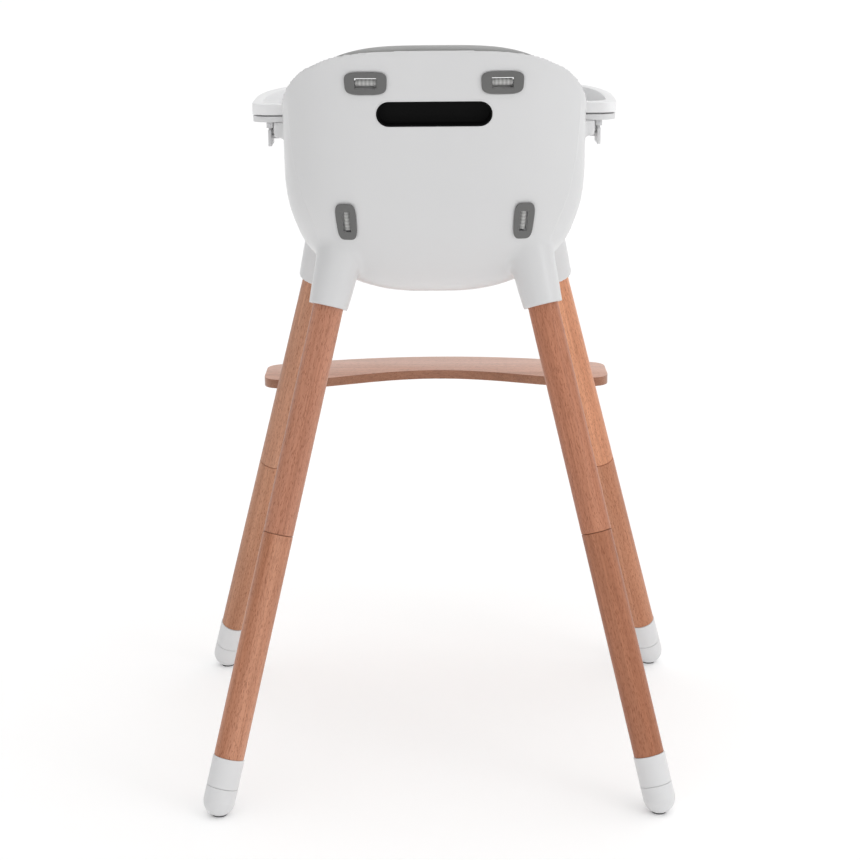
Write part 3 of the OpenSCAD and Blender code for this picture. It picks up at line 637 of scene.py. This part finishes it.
def blend_sockets(obj):
    """Rounds the joints between the bowl and its sockets, and those of the arm rails."""
    co, edges = mesh_arrays(obj)
    co = relax(co, edges, None, 3)
    mm = co / MM - np.array((0, FRAME_Y, 0))
    weight = np.zeros(len(co))
    for row in FOOT:
        for side in SIDES:
            inverse = leg_frame(side, row, leg_length(row)).inverted()
            m = np.array(inverse)
            local = mm @ m[:3, :3].T + m[:3, 3]
            radius = np.hypot(local[:, 0], local[:, 1])
            near = np.exp(-((radius - SOCKET_TOP_R - 4) / 16) ** 2) * (local[:, 2] > 22)
            near *= np.clip((local[:, 2] - 22) / 22, 0, 1) * (local[:, 2] < SOCKET_H + 40)
            weight = np.maximum(weight, near)
    arms = np.clip(1 - np.abs(np.abs(mm[:, 0]) - HALF_W) / 9, 0, 1) * (mm[:, 2] > ARM_TOP - ARM_DROP - 14)
    arms *= (mm[:, 2] < ARM_TOP - 3) * (mm[:, 1] < 20) * (mm[:, 1] > -ARM_LEN - 8)
    weight = np.maximum(weight, arms)
    co = relax(co, edges, weight, 45)
    obj.data.vertices.foreach_set("co", crease_back(co).ravel())
    obj.data.update()


def crease_back(co):
    """The soft line down each side of the backrest, where its rear panel turns into the side walls."""
    x, y, z = (co[:, k] / MM for k in range(3))
    cy = SEAT_Y + LEAN * (z - BOTTOM) + FRAME_Y
    line = np.interp(z, (690, 701, 756, 804, 852), (137, 142, 163, 173, 177))
    step = np.clip((np.abs(x) - line) / 3.5, 0, 1)
    fade = np.clip((y - cy) / 35, 0, 1) * np.clip((z - 690) / 25, 0, 1) * np.clip((872 - z) / 25, 0, 1)
    co[:, 0] -= np.sign(x) * 2.2 * MM * step * step * (3 - 2 * step) * fade
    return co


def make_shell():
    shell = bucket("seat_shell_moulding", 0, 0)
    for row in FOOT:
        for side in SIDES:
            matrix = leg_frame(side, row, leg_length(row))
            fairing = cone("fairing", SOCKET_TOP_R, FAIRING_R, FAIRING_H + 1, matrix, low=SOCKET_H - 1)
            boolean(shell, fairing, "UNION")
            boolean(shell, cone("socket", SOCKET_R, SOCKET_TOP_R, SOCKET_H, matrix), "UNION")
    for side in SIDES:
        boolean(shell, arm_rail(side), "UNION")
    boolean(shell, bucket("cavity", WALL, 20), "DIFFERENCE")
    remesh(shell, 0.0021)
    blend_sockets(shell)
    for row in FOOT:
        for side in SIDES:
            matrix = leg_frame(side, row, leg_length(row))
            bore = cone("leg_bore", LEG_R + 0.4, LEG_R + 0.4, LEG_IN + 6, matrix, low=-5)
            boolean(shell, bore, "DIFFERENCE")
            pocket = cone("bolt_pocket", POCKET_R, POCKET_R, 40, matrix, low=POCKET_IN)
            boolean(shell, pocket, "DIFFERENCE")
    cuts = []
    for side in SIDES:
        upper = on_back(side * UPPER_SLOT[0], UPPER_SLOT[1])
        lower = on_back(side * LOWER_SLOT[0], LOWER_SLOT[1])
        cuts.append(block("slot", 0, 0, -2, (SLOT_W, UPPER_SLOT_H, 20), upper))
        cuts.append(block("slot", 0, 0, -2, (SLOT_H, SLOT_W, 22), lower))
        cuts.append(prism("recess", lambda z: barrel_outline(*UPPER_RECESS, RECESS_TAPER, z), -0.7, 6, upper))
        cuts.append(prism("recess", lambda z: barrel_outline(*LOWER_RECESS, RECESS_TAPER, z), -0.9, 6, lower))
    grip = on_back(0, GRIP_Z)
    cuts.append(prism("grip", lambda z: stadium(GRIP_HALF_W, GRIP_H, z), -12, 8, grip))
    cuts.append(block("crotch_slot", 0, CROTCH_Y, BOTTOM + 10, (30, 6, 30)))
    for tool in cuts:
        boolean(shell, tool, "DIFFERENCE")
    shell.data.shade_smooth()
    sharpen(shell, 38)
    finish_piece(shell, shell_white, replaces=["seat_shell"])


def make_grip_bead():
    """The small rounded lip that the shell's moulding has round the hand grip."""
    frame_at = on_back(0, GRIP_Z)
    path = []
    for x, y, _ in stadium(GRIP_HALF_W + 0.5, GRIP_H + 1.0, 0, steps=24):
        p = frame_at @ Vector((x, y, 0))
        path.append(Vector((p.x, back_y(p.x, p.z, 0) - 0.25, p.z)))
    rings = []
    for i, p in enumerate(path):
        tangent = (path[(i + 1) % len(path)] - path[i - 1]).normalized()
        out = frame_at.to_3x3() @ Vector((0, 0, 1))
        side = tangent.cross(out).normalized()
        rings.append([p + side * 0.95 * math.cos(a) + out * 0.8 * math.sin(a)
                      for a in (2 * math.pi * k / 10 for k in range(10))])
    rings.append(rings[0])
    bead = rings_object("hand_grip_lip", rings, cap_start=False, cap_end=False)
    finish_piece(bead, shell_white)


make_camera()
make_studio()
make_shell()
make_grip_bead()


# ---------------------------------------------------------------- soft pieces
def on_pad(x, z):
    return Vector((x, back_y(x, z, WEB_OFF), z))


def keep_in_bucket(co, near, deep):
    """Pushes points, given in metres, to between near and deep millimetres off the bucket's outer face."""
    x, y, z = (co[:, k] / MM for k in range(3))
    cy = SEAT_Y + LEAN * (z - BOTTOM)
    dy = y - FRAME_Y - cy
    n = np.where(dy < 0, N_FRONT, N_BACK)
    for off, inner in ((near, False), (deep, True)):
        full = (1 - (1 - np.clip((z - BOTTOM - off) / DEPTH, 0, 1)) ** N_BOWL) ** (1 / N_BOWL)
        depth = np.where(dy < 0, FRONT, BACK) - off
        r = ((np.abs(x) / (HALF_W - off)) ** n + (np.abs(dy) / depth) ** n) ** (1 / n)
        ratio = full / np.maximum(r, 1e-6)
        ratio = np.maximum(ratio, 1) if inner else np.minimum(ratio, 1)
        x, dy = x * ratio, dy * ratio
    co[:, 0], co[:, 1] = x * MM, (dy + cy + FRAME_Y) * MM
    return co


def set_points(obj, co):
    obj.data.vertices.foreach_set("co", co.ravel())
    obj.data.update()


def inflate(obj, pressure, cap, held):
    """Cloth simulation of a closed cover blown up by its filling.

    held(co) says which points the stitching holds, and no point moves further than cap metres."""
    before, _ = mesh_arrays(obj)
    group = obj.vertex_groups.new(name="stitched")
    group.add([int(i) for i in np.nonzero(held(before))[0]], 1.0, "REPLACE")
    cloth = obj.modifiers.new("filling", "CLOTH")
    cloth.settings.quality = 5
    cloth.settings.mass = 0.2
    cloth.settings.tension_stiffness = 12
    cloth.settings.compression_stiffness = 12
    cloth.settings.bending_stiffness = 1.5
    cloth.settings.use_pressure = True
    cloth.settings.uniform_pressure_force = pressure
    cloth.settings.effector_weights.gravity = 0
    cloth.settings.vertex_group_mass = "stitched"
    frames = 20
    cloth.point_cache.frame_start, cloth.point_cache.frame_end = 1, frames
    scene = bpy.context.scene
    for number in range(1, frames + 1):
        scene.frame_set(number)
    apply_modifiers(obj)
    scene.frame_set(1)
    after, _ = mesh_arrays(obj)
    move = after - before
    length = np.linalg.norm(move, axis=1)
    set_points(obj, before + move * np.minimum(1, cap / np.maximum(length, 1e-9))[:, None])


def subdivide(obj):
    mod = obj.modifiers.new("smooth", "SUBSURF")
    mod.levels = mod.render_levels = 1
    apply_modifiers(obj)


def pad_over(th):
    return max(-6.0, 6 - 6 * (HALF_W * abs(math.cos(th)) ** (2 / N_BACK) / 132) ** 4)


def wall_slab(name, z0, thick, cols=100, rows=52):
    """The back cushion before it is filled: a slab that follows the inside of the bucket."""
    near, over_cup = WALL + PAD_CLEAR + 1.2, 13.6
    rings = []
    for i in range(cols + 1):
        th = math.radians(mix(31, 149, i / cols))
        top = rim_z(th) + pad_over(th) - 0.8
        edge = min(1.0, min(i, cols - i) / 3)
        out = [shell_point(th, mix(z0, top, k / rows), near) for k in range(rows + 1)]
        inner = []
        for k in range(rows, -1, -1):
            z = mix(z0, top, k / rows)
            x = HALF_W * spow(math.cos(th), 2 / N_BACK)
            over_grip = ease((92 - abs(x)) / 16) * ease((36 - abs(z - GRIP_Z)) / 14)
            slab = thick * (0.35 + 0.65 * edge) * (0.4 + 0.6 * min(1.0, min(k, rows - k) / 3))
            deep = mix(slab, over_cup, over_grip)
            inner.append(shell_point(th, z, near + deep))
        rings.append(out + inner)
    return rings_object(name, rings)


# The back cushion's sewn lines: three across, and one down each side
BACK_SEAMS = (742.0, 800.0, 856.0)
SEAM_X, SEAM_LOW, SEAM_HIGH = 58.0, 712.0, 915.0
SEAM_GRAB, SEAM_DEPTH, SEAM_WIDTH = 2.6, 3.0, 2.2
# The seat cushion's: a ring at this part of the way out, and two lines forward and back from it
SEAT_RING, SEAT_SPAN, SPOKE_X = 0.52, 140.0, 40.0


def near_back_seam(co):
    x, z = np.abs(co[:, 0] / MM), co[:, 2] / MM
    seam = np.zeros(len(co), bool)
    for level in BACK_SEAMS:
        seam |= (np.abs(z - level) < SEAM_GRAB) & (x < SEAM_X)
    seam |= (np.abs(x - SEAM_X) < SEAM_GRAB) & (z > SEAM_LOW) & (z < SEAM_HIGH)
    return seam


def held_back(co):
    """Which points the back cushion's stitching holds: the seams, and everything on the wall's side."""
    off = 10
    x, y, z = (co[:, k] / MM for k in range(3))
    cy = SEAT_Y + LEAN * (z - BOTTOM)
    dy = np.maximum(y - FRAME_Y - cy, 1)
    full = (1 - (1 - np.clip((z - BOTTOM - off) / DEPTH, 0, 1)) ** N_BOWL) ** (1 / N_BOWL)
    r = ((np.abs(x) / (HALF_W - off)) ** N_BACK + (dy / (BACK - off)) ** N_BACK) ** (1 / N_BACK)
    return near_back_seam(co) | (r > full)


def press_seams(obj, curve_distance, depth, width, direction):
    """Draws the cover in along its sewn lines."""
    co, _ = mesh_arrays(obj)
    pull = np.exp(-(curve_distance(co) / width) ** 2) * depth * MM
    set_points(obj, co + pull[:, None] * direction(co))


def back_seam_distance(co):
    x, z = np.abs(co[:, 0] / MM), co[:, 2] / MM
    away = np.full(len(co), 99.0)
    for level in BACK_SEAMS:
        away = np.minimum(away, np.hypot(z - level, np.maximum(0, x - SEAM_X)))
    beyond = np.maximum(0, np.maximum(SEAM_LOW - z, z - SEAM_HIGH))
    return np.minimum(away, np.hypot(x - SEAM_X, beyond))


def make_back_cushion():
    pad = wall_slab("back_cushion_padding", 692, 10)
    inflate(pad, 4.0, 0.008, held_back)
    co, _ = mesh_arrays(pad)
    set_points(pad, keep_in_bucket(co, WALL + PAD_CLEAR + 0.2, WALL + PAD_CLEAR + PAD_T + 1.5))
    subdivide(pad)
    co, _ = mesh_arrays(pad)
    front = ~held_back(co) | near_back_seam(co)

    def toward_wall(points):
        out = np.zeros_like(points)
        out[:, 1] = front
        return out
    press_seams(pad, back_seam_distance, SEAM_DEPTH, SEAM_WIDTH, toward_wall)
    for side in SIDES:
        upper = on_back(side * UPPER_SLOT[0], UPPER_SLOT[1])
        lower = on_back(side * LOWER_SLOT[0], LOWER_SLOT[1])
        boolean(pad, block("hole", 0, 0, -15, (33, 10, 50), upper), "DIFFERENCE")
        boolean(pad, block("hole", 0, 0, -17, (20, 36, 54), lower), "DIFFERENCE")
    grip = on_back(0, GRIP_Z)
    boolean(pad, block("hole", 0, 0, -9.4, (2 * GRIP_HALF_W + 4, GRIP_H + 4, 14.6), grip), "DIFFERENCE")
    pad.data.shade_smooth()
    sharpen(pad, 50)
    finish_piece(pad, cover_grey, replaces=["back_cushion"])


def seat_plan(th, r):
    front = math.sin(th) < 0
    n = N_FRONT if front else N_BACK
    near = WALL + PAD_CLEAR + SEAT_LIFT
    return ((HALF_W - near) * r * spow(math.cos(th), 2 / n),
            SEAT_Y + half_depth(front, near) * r * spow(math.sin(th), 2 / n))


def floor_z_array(x, y, off):
    dy = y - SEAT_Y
    n = np.where(dy < 0, N_FRONT, N_BACK)
    depth = np.where(dy < 0, FRONT, BACK) - off
    r = ((np.abs(x) / (HALF_W - off)) ** n + (np.abs(dy) / depth) ** n) ** (1 / n)
    return BOTTOM + off + DEPTH * (1 - (1 - np.minimum(0.98, r) ** N_BOWL) ** (1 / N_BOWL))


def seat_height(co):
    return co[:, 2] / MM - floor_z_array(co[:, 0] / MM, co[:, 1] / MM - FRAME_Y, WALL + PAD_CLEAR + SEAT_LIFT)


def seat_radius(co):
    x, dy = co[:, 0] / MM, co[:, 1] / MM - FRAME_Y - SEAT_Y
    n = np.where(dy < 0, N_FRONT, N_BACK)
    near = WALL + PAD_CLEAR + SEAT_LIFT
    depth = np.where(dy < 0, FRONT, BACK) - near
    return ((np.abs(x) / (HALF_W - near)) ** n + (np.abs(dy) / depth) ** n) ** (1 / n)


def seat_seam_distance(co):
    r = seat_radius(co)
    x = np.abs(co[:, 0] / MM)
    ring = np.abs(r - SEAT_RING) * SEAT_SPAN
    spokes = np.hypot(np.abs(x - SPOKE_X), np.maximum(0, r - SEAT_RING) * SEAT_SPAN)
    return np.minimum(ring, spokes)


def make_seat_cushion():
    near = WALL + PAD_CLEAR + SEAT_LIFT
    rings = []
    steps = [(r, 0.6) for r in (0.06, 0.2, 0.35, 0.5, 0.6, 0.67, 0.7)] + [(0.715, 4.5)]
    steps += [(0.7, 8.5), (0.66, 11.5)] + [(r, 13) for r in (0.6, 0.5, 0.35, 0.2, 0.06)]
    for r, height in steps:
        ring = []
        for i in range(120):
            x, y = seat_plan(2 * math.pi * i / 120, r)
            ring.append((x, y, floor_z(x, y, near) + height))
        rings.append(ring)
    pad = rings_object("seat_cushion_padding", rings)
    remesh(pad, 0.0045)
    inflate(pad, 4.0, 0.009, lambda co: (seat_height(co) < 4) | (seat_seam_distance(co) < SEAM_GRAB))
    co, _ = mesh_arrays(pad)
    floor = floor_z_array(co[:, 0] / MM, co[:, 1] / MM - FRAME_Y, near)
    co[:, 2] = np.clip(co[:, 2], (floor + 0.1) * MM, (floor + PAD_FLOOR + 1.5) * MM)
    set_points(pad, co)
    subdivide(pad)
    co, _ = mesh_arrays(pad)
    upper = (seat_height(co) > 8).astype(float)
    press_seams(pad, seat_seam_distance, SEAM_DEPTH, SEAM_WIDTH,
                lambda points: np.stack([np.zeros(len(points)), np.zeros(len(points)), -upper], axis=1))
    boolean(pad, block("hole", 0, CROTCH_Y, BOTTOM + 25, (30, 6, 60)), "DIFFERENCE")
    pad.data.shade_smooth()
    sharpen(pad, 50)
    finish_piece(pad, cover_grey, replaces=["seat_cushion"])


# ---------------------------------------------------------------- webbing
def curve_through(points, per_span):
    out = []
    last = len(points) - 1
    for i in range(last):
        a, b = Vector(points[max(i - 1, 0)]), Vector(points[i])
        c, d = Vector(points[i + 1]), Vector(points[min(i + 2, last)])
        for k in range(per_span):
            t = k / per_span
            out.append(0.5 * (2 * b + (c - a) * t + (2 * a - 5 * b + 4 * c - d) * t * t
                              + (3 * b - a - 3 * c + d) * t ** 3))
    out.append(Vector(points[-1]))
    return out


def strip(path, wides, width, thick):
    """Rings of a flat band with rounded edges, and how far along it each one is."""
    half, flat = width / 2, thick / 2
    edge = flat * 0.7
    profile = [(-half, 0), (-half + edge * 0.4, -flat * 0.8), (-half + edge, -flat)]
    profile += [(half * t, -flat) for t in (-0.6, -0.3, 0, 0.3, 0.6)]
    profile += [(half - edge, -flat), (half - edge * 0.4, -flat * 0.8), (half, 0)]
    profile += [(half - edge * 0.4, flat * 0.8), (half - edge, flat)]
    profile += [(half * t, flat) for t in (0.6, 0.3, 0, -0.3, -0.6)]
    profile += [(-half + edge, flat), (-half + edge * 0.4, flat * 0.8)]
    rings, along, total = [], [], 0.0
    for i, p in enumerate(path):
        tangent = (path[min(i + 1, len(path) - 1)] - path[max(i - 1, 0)]).normalized()
        wide = Vector(wides[i])
        s = (wide - tangent * wide.dot(tangent)).normalized()
        up = tangent.cross(s)
        if i:
            total += (p - path[i - 1]).length
        along.append(total)
        rings.append([p + s * a + up * b for a, b in profile])
    return rings, along, [a for a, _ in profile]


def webbing_piece(name, strips, node):
    """One length of webbing, as a few strips sewn together, with its length in U and its width in V."""
    verts, faces, uv_of = [], [], []
    for rings, along, across in strips:
        base, n = len(verts), len(across)
        for ring, distance in zip(rings, along):
            verts += ring
            uv_of += [(distance * MM, v * MM) for v in across]
        for k in range(len(rings) - 1):
            for i in range(n):
                j = (i + 1) % n
                here, ahead = base + k * n, base + (k + 1) * n
                faces.append((here + i, here + j, ahead + j, ahead + i))
        faces.append(tuple(base + i for i in range(n - 1, -1, -1)))
        faces.append(tuple(base + (len(rings) - 1) * n + i for i in range(n)))
    obj = new_object(name, verts, faces)
    layer = obj.data.uv_layers.new(name="UVMap")
    for loop in obj.data.loops:
        layer.data[loop.index].uv = uv_of[loop.vertex_index]
    sharpen(obj, 60)
    return finish_piece(obj, webbing_grey, replaces=[node])


def loop_strip(matrix, upright):
    """The end of a strap, turned round its anchor bar."""
    r = BAR_R + 0.05 + WEB_T / 2
    points, wides = [], []
    for i in range(33):
        a = 2 * math.pi * i / 32
        if upright:
            local, wide = (r * math.cos(a), 0, -BAR_IN + r * math.sin(a)), (0, 1, 0)
        else:
            local, wide = (0, r * math.cos(a), -BAR_IN + r * math.sin(a)), (1, 0, 0)
        points.append(matrix @ Vector(local))
        wides.append(matrix.to_3x3() @ Vector(wide))
    return strip(points, wides, WEB_W, WEB_T)


def shoulder_line(s, levels):
    return [on_pad(s * mix(30, UPPER_SLOT[0], ((z - 690) / 207) ** 0.8), z) for z in levels]


def make_straps():
    for s, side in ((1, "left"), (-1, "right")):
        x, z = s * UPPER_SLOT[0], UPPER_SLOT[1]
        slot = on_pad(x, z)
        knots = [Vector((x, back_y(x, z, 0) - BAR_IN - 3.5, z)), slot + Vector((0, 1, -1))]
        knots += shoulder_line(s, (876, 850, 820, 790, 762))
        knots += [on_pad(s * 40, 730) + Vector((0, -14, -8)), Vector((s * 30, 34, 688)),
                  Vector((s * 21, 6, 680))]
        wides = [(1, 0, 0 if i < 2 else -0.12 * s) for i in range(len(knots))]
        webbing_piece("shoulder_webbing_" + side,
                      [strip(curve_through(knots, 12), curve_through(wides, 12), WEB_W, WEB_T),
                       loop_strip(on_back(x, z), False)], "shoulder_strap_" + side)
        x, z = s * LOWER_SLOT[0], LOWER_SLOT[1]
        inner = back_y(x, z, WEB_OFF)
        at = on_back(x, z)
        knots = [at @ Vector((0, 0, -BAR_IN - 4)), at @ Vector((0, 0, -14)), at @ Vector((0, 0, -24)),
                 (x - s * 14, inner - 22, 718), (s * 80, 40, 700), (s * 62, 16, 688), (s * 46, -2, 680),
                 (s * 34, -14, 676)]
        up = at.to_3x3() @ Vector((0, 1, 0))
        wides = [up, up, up, (0, 0.2, 1), (0, 0.35, 0.9), (-0.1 * s, 0.6, 0.75), (-0.2 * s, 0.8, 0.5),
                 (-0.2 * s, 0.9, 0.3)]
        webbing_piece("waist_webbing_" + side,
                      [strip(curve_through(knots, 12), curve_through(wides, 12), WEB_W, WEB_T),
                       loop_strip(on_back(x, z), True)], "waist_strap_" + side)
    low = BOTTOM - 2.2
    knots = [(0, CROTCH_Y, low), (0, CROTCH_Y, BOTTOM + SIT), (0, CROTCH_Y + 2, 656), (0, CROTCH_Y + 8, 663),
             (0, BUCKLE_Y - 17.5, 667.5)]
    path = curve_through(knots, 12)
    anchor = [Vector((0, CROTCH_Y - 9 + 18 * t, low - 0.1)) for t in (0, 0.25, 0.5, 0.75, 1)]
    webbing_piece("crotch_webbing",
                  [strip(path, [(1, 0, 0)] * len(path), WEB_W, WEB_T),
                   strip(anchor, [(1, 0, 0)] * len(anchor), 34, 3)], "crotch_strap")


def make_shoulder_pads():
    shapes = []
    for s in SIDES:
        line = shoulder_line(s, (867, 850, 830, 810, 791))
        path = curve_through([p + Vector((0, -4.9, 0)) for p in line], 6)
        rings = []
        for i, p in enumerate(path):
            tangent = (path[min(i + 1, len(path) - 1)] - path[max(i - 1, 0)]).normalized()
            wide = Vector((1, 0, -0.12 * s))
            across = (wide - tangent * wide.dot(tangent)).normalized()
            up = tangent.cross(across)
            end = min(i, len(path) - 1 - i)
            w = 21 * (0.86 + 0.14 * min(1.0, end / 3))
            t = 2.4 * (0.5 + 0.5 * min(1.0, end / 2))
            rings.append([p + across * w * spow(math.cos(a), 0.35) + up * t * spow(math.sin(a), 0.6)
                          for a in (2 * math.pi * k / 48 for k in range(48))])
        shapes.append(rings_object("shoulder_pad_" + ("left" if s > 0 else "right"), rings))
    for pad in shapes:
        remesh(pad, 0.0022)
        co, _ = mesh_arrays(pad)
        slope = np.polyfit(co[:, 2], co[:, 1], 1)
        behind = co[:, 1] > np.polyval(slope, co[:, 2])
        inflate(pad, 5.0, 0.0022, lambda points, back=behind: back)
        subdivide(pad)
        pad.data.shade_smooth()
        finish_piece(pad, cover_grey)
    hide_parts("shoulder_pads")


make_back_cushion()
make_seat_cushion()
make_straps()
make_shoulder_pads()


# ---------------------------------------------------------------- moulded and turned parts, edges rounded
def rounded_copy(node, mat, width, segments=3, angle=30):
    """Stands for a CAD node: the same solid with its hard edges rounded, as a mould leaves them."""
    source = NODES[node]
    obj = bpy.data.objects.new(node + "_part", source.data.copy())
    bpy.context.scene.collection.objects.link(obj)
    bm = bmesh.new()
    bm.from_mesh(obj.data)
    bmesh.ops.remove_doubles(bm, verts=bm.verts, dist=1e-6)
    bmesh.ops.dissolve_limit(bm, angle_limit=math.radians(1), verts=bm.verts, edges=bm.edges)
    bm.to_mesh(obj.data)
    bm.free()
    if obj.data.has_custom_normals:
        bpy.context.view_layer.objects.active = obj
        bpy.ops.mesh.customdata_custom_splitnormals_clear()
    mod = obj.modifiers.new("edges", "BEVEL")
    mod.width = width * MM
    mod.segments = segments
    mod.limit_method = "ANGLE"
    mod.angle_limit = math.radians(angle)
    apply_modifiers(obj)
    obj.data.shade_smooth()
    sharpen(obj, 40)
    return finish_piece(obj, mat, body=source["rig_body"], replaces=[node])


for copied, material, slot_name, radius in [
        ("tray_insert", tray_white, "white_plastic", 1.1),
        ("tray_base", part_white, "white_plastic", 0.8),
        ("tray_latch_left", part_white, "white_plastic", 0.7),
        ("tray_latch_right", part_white, "white_plastic", 0.7),
        ("upper_strap_bezels", grey_plastic, "grey_plastic", 0.7),
        ("lower_strap_bezels", grey_plastic, "grey_plastic", 0.7),
        ("hand_grip_cup", black_plastic, "black_plastic", 0.5),
        ("strap_sliders", black_plastic, "black_plastic", 0.7),
        ("buckle_body", part_white, "white_plastic", 1.6),
        ("buckle_button", grey_plastic, "grey_plastic", 0.8),
        ("buckle_tongues", part_white, "white_plastic", 0.7)]:
    rounded_copy(copied, material, radius)
# The edge colour darkens the footrest's side faces: the darker sawn end, and painted shade on the sides.
footrest_wood = beech("beech_footrest", (1, 0, 0), (0.2, 0.1, 0.05), (0.8, 0.46, 0.34), (0.68, 0.36, 0.25),
                      coat=0.6, edge=(0.5, 0.4, 0.3))
rounded_copy("footrest", footrest_wood, 2.4, segments=4)


# ---------------------------------------------------------------- CAD nodes that only need a finish
def wood_direction(side, row):
    return Vector((side * SOCKET[row][0], SOCKET[row][1], SOCKET[row][2])) - Vector(
        (side * FOOT[row][0], FOOT[row][1], FOOT[row][2]))


# No two legs are cut from the same board
UPPER_TINT = {"rear_left": (1.13, 1.03, 1.0), "rear_right": (1.03, 0.84, 0.73),
              "front_left": (1.08, 1.05, 0.98), "front_right": (1.5, 1.36, 1.18)}
LOWER_TINT = {"rear_left": (1.18, 1.11, 1.07), "rear_right": (0.89, 0.72, 0.61),
              "front_left": (1.08, 1.05, 0.98), "front_right": (1.2, 1.1, 1.0)}


def tinted(color, tint):
    return tuple(min(0.9, c * t) for c, t in zip(color, tint))


def paint_legs():
    for i, (row, side, name) in enumerate([("rear", 1, "rear_left"), ("rear", -1, "rear_right"),
                                           ("front", 1, "front_left"), ("front", -1, "front_right")]):
        direction = wood_direction(side, row)
        upper = beech("beech_upper_" + name, direction, (0.31 * i, 0.17 * i, 0.4 * i),
                      tinted(BEECH_LIGHT, UPPER_TINT[name]), tinted(BEECH_DARK, UPPER_TINT[name]))
        lower = beech("beech_lower_" + name, direction, (0.7 + 0.23 * i, 0.5, 1.3 * i),
                      tinted(LOWER_LIGHT, LOWER_TINT[name]), tinted(LOWER_DARK, LOWER_TINT[name]))
        paint(NODES["upper_leg_" + name], upper)
        paint(NODES["lower_leg_" + name], lower)


PLAIN = {"strap_anchor_bars": steel, "latch_pins": steel, "latch_springs": steel, "leg_joint_studs": steel,
         "leg_joint_inserts": steel, "seat_bolts": steel, "seat_bolt_inserts": steel,
         "foot_sleeves": part_white, "foot_tips": part_white, "foot_pads": rubber, "foot_screws": steel,
         "footrest_screws": steel}
for node_name, node_material in PLAIN.items():
    paint(NODES[node_name], node_material)
paint_legs()
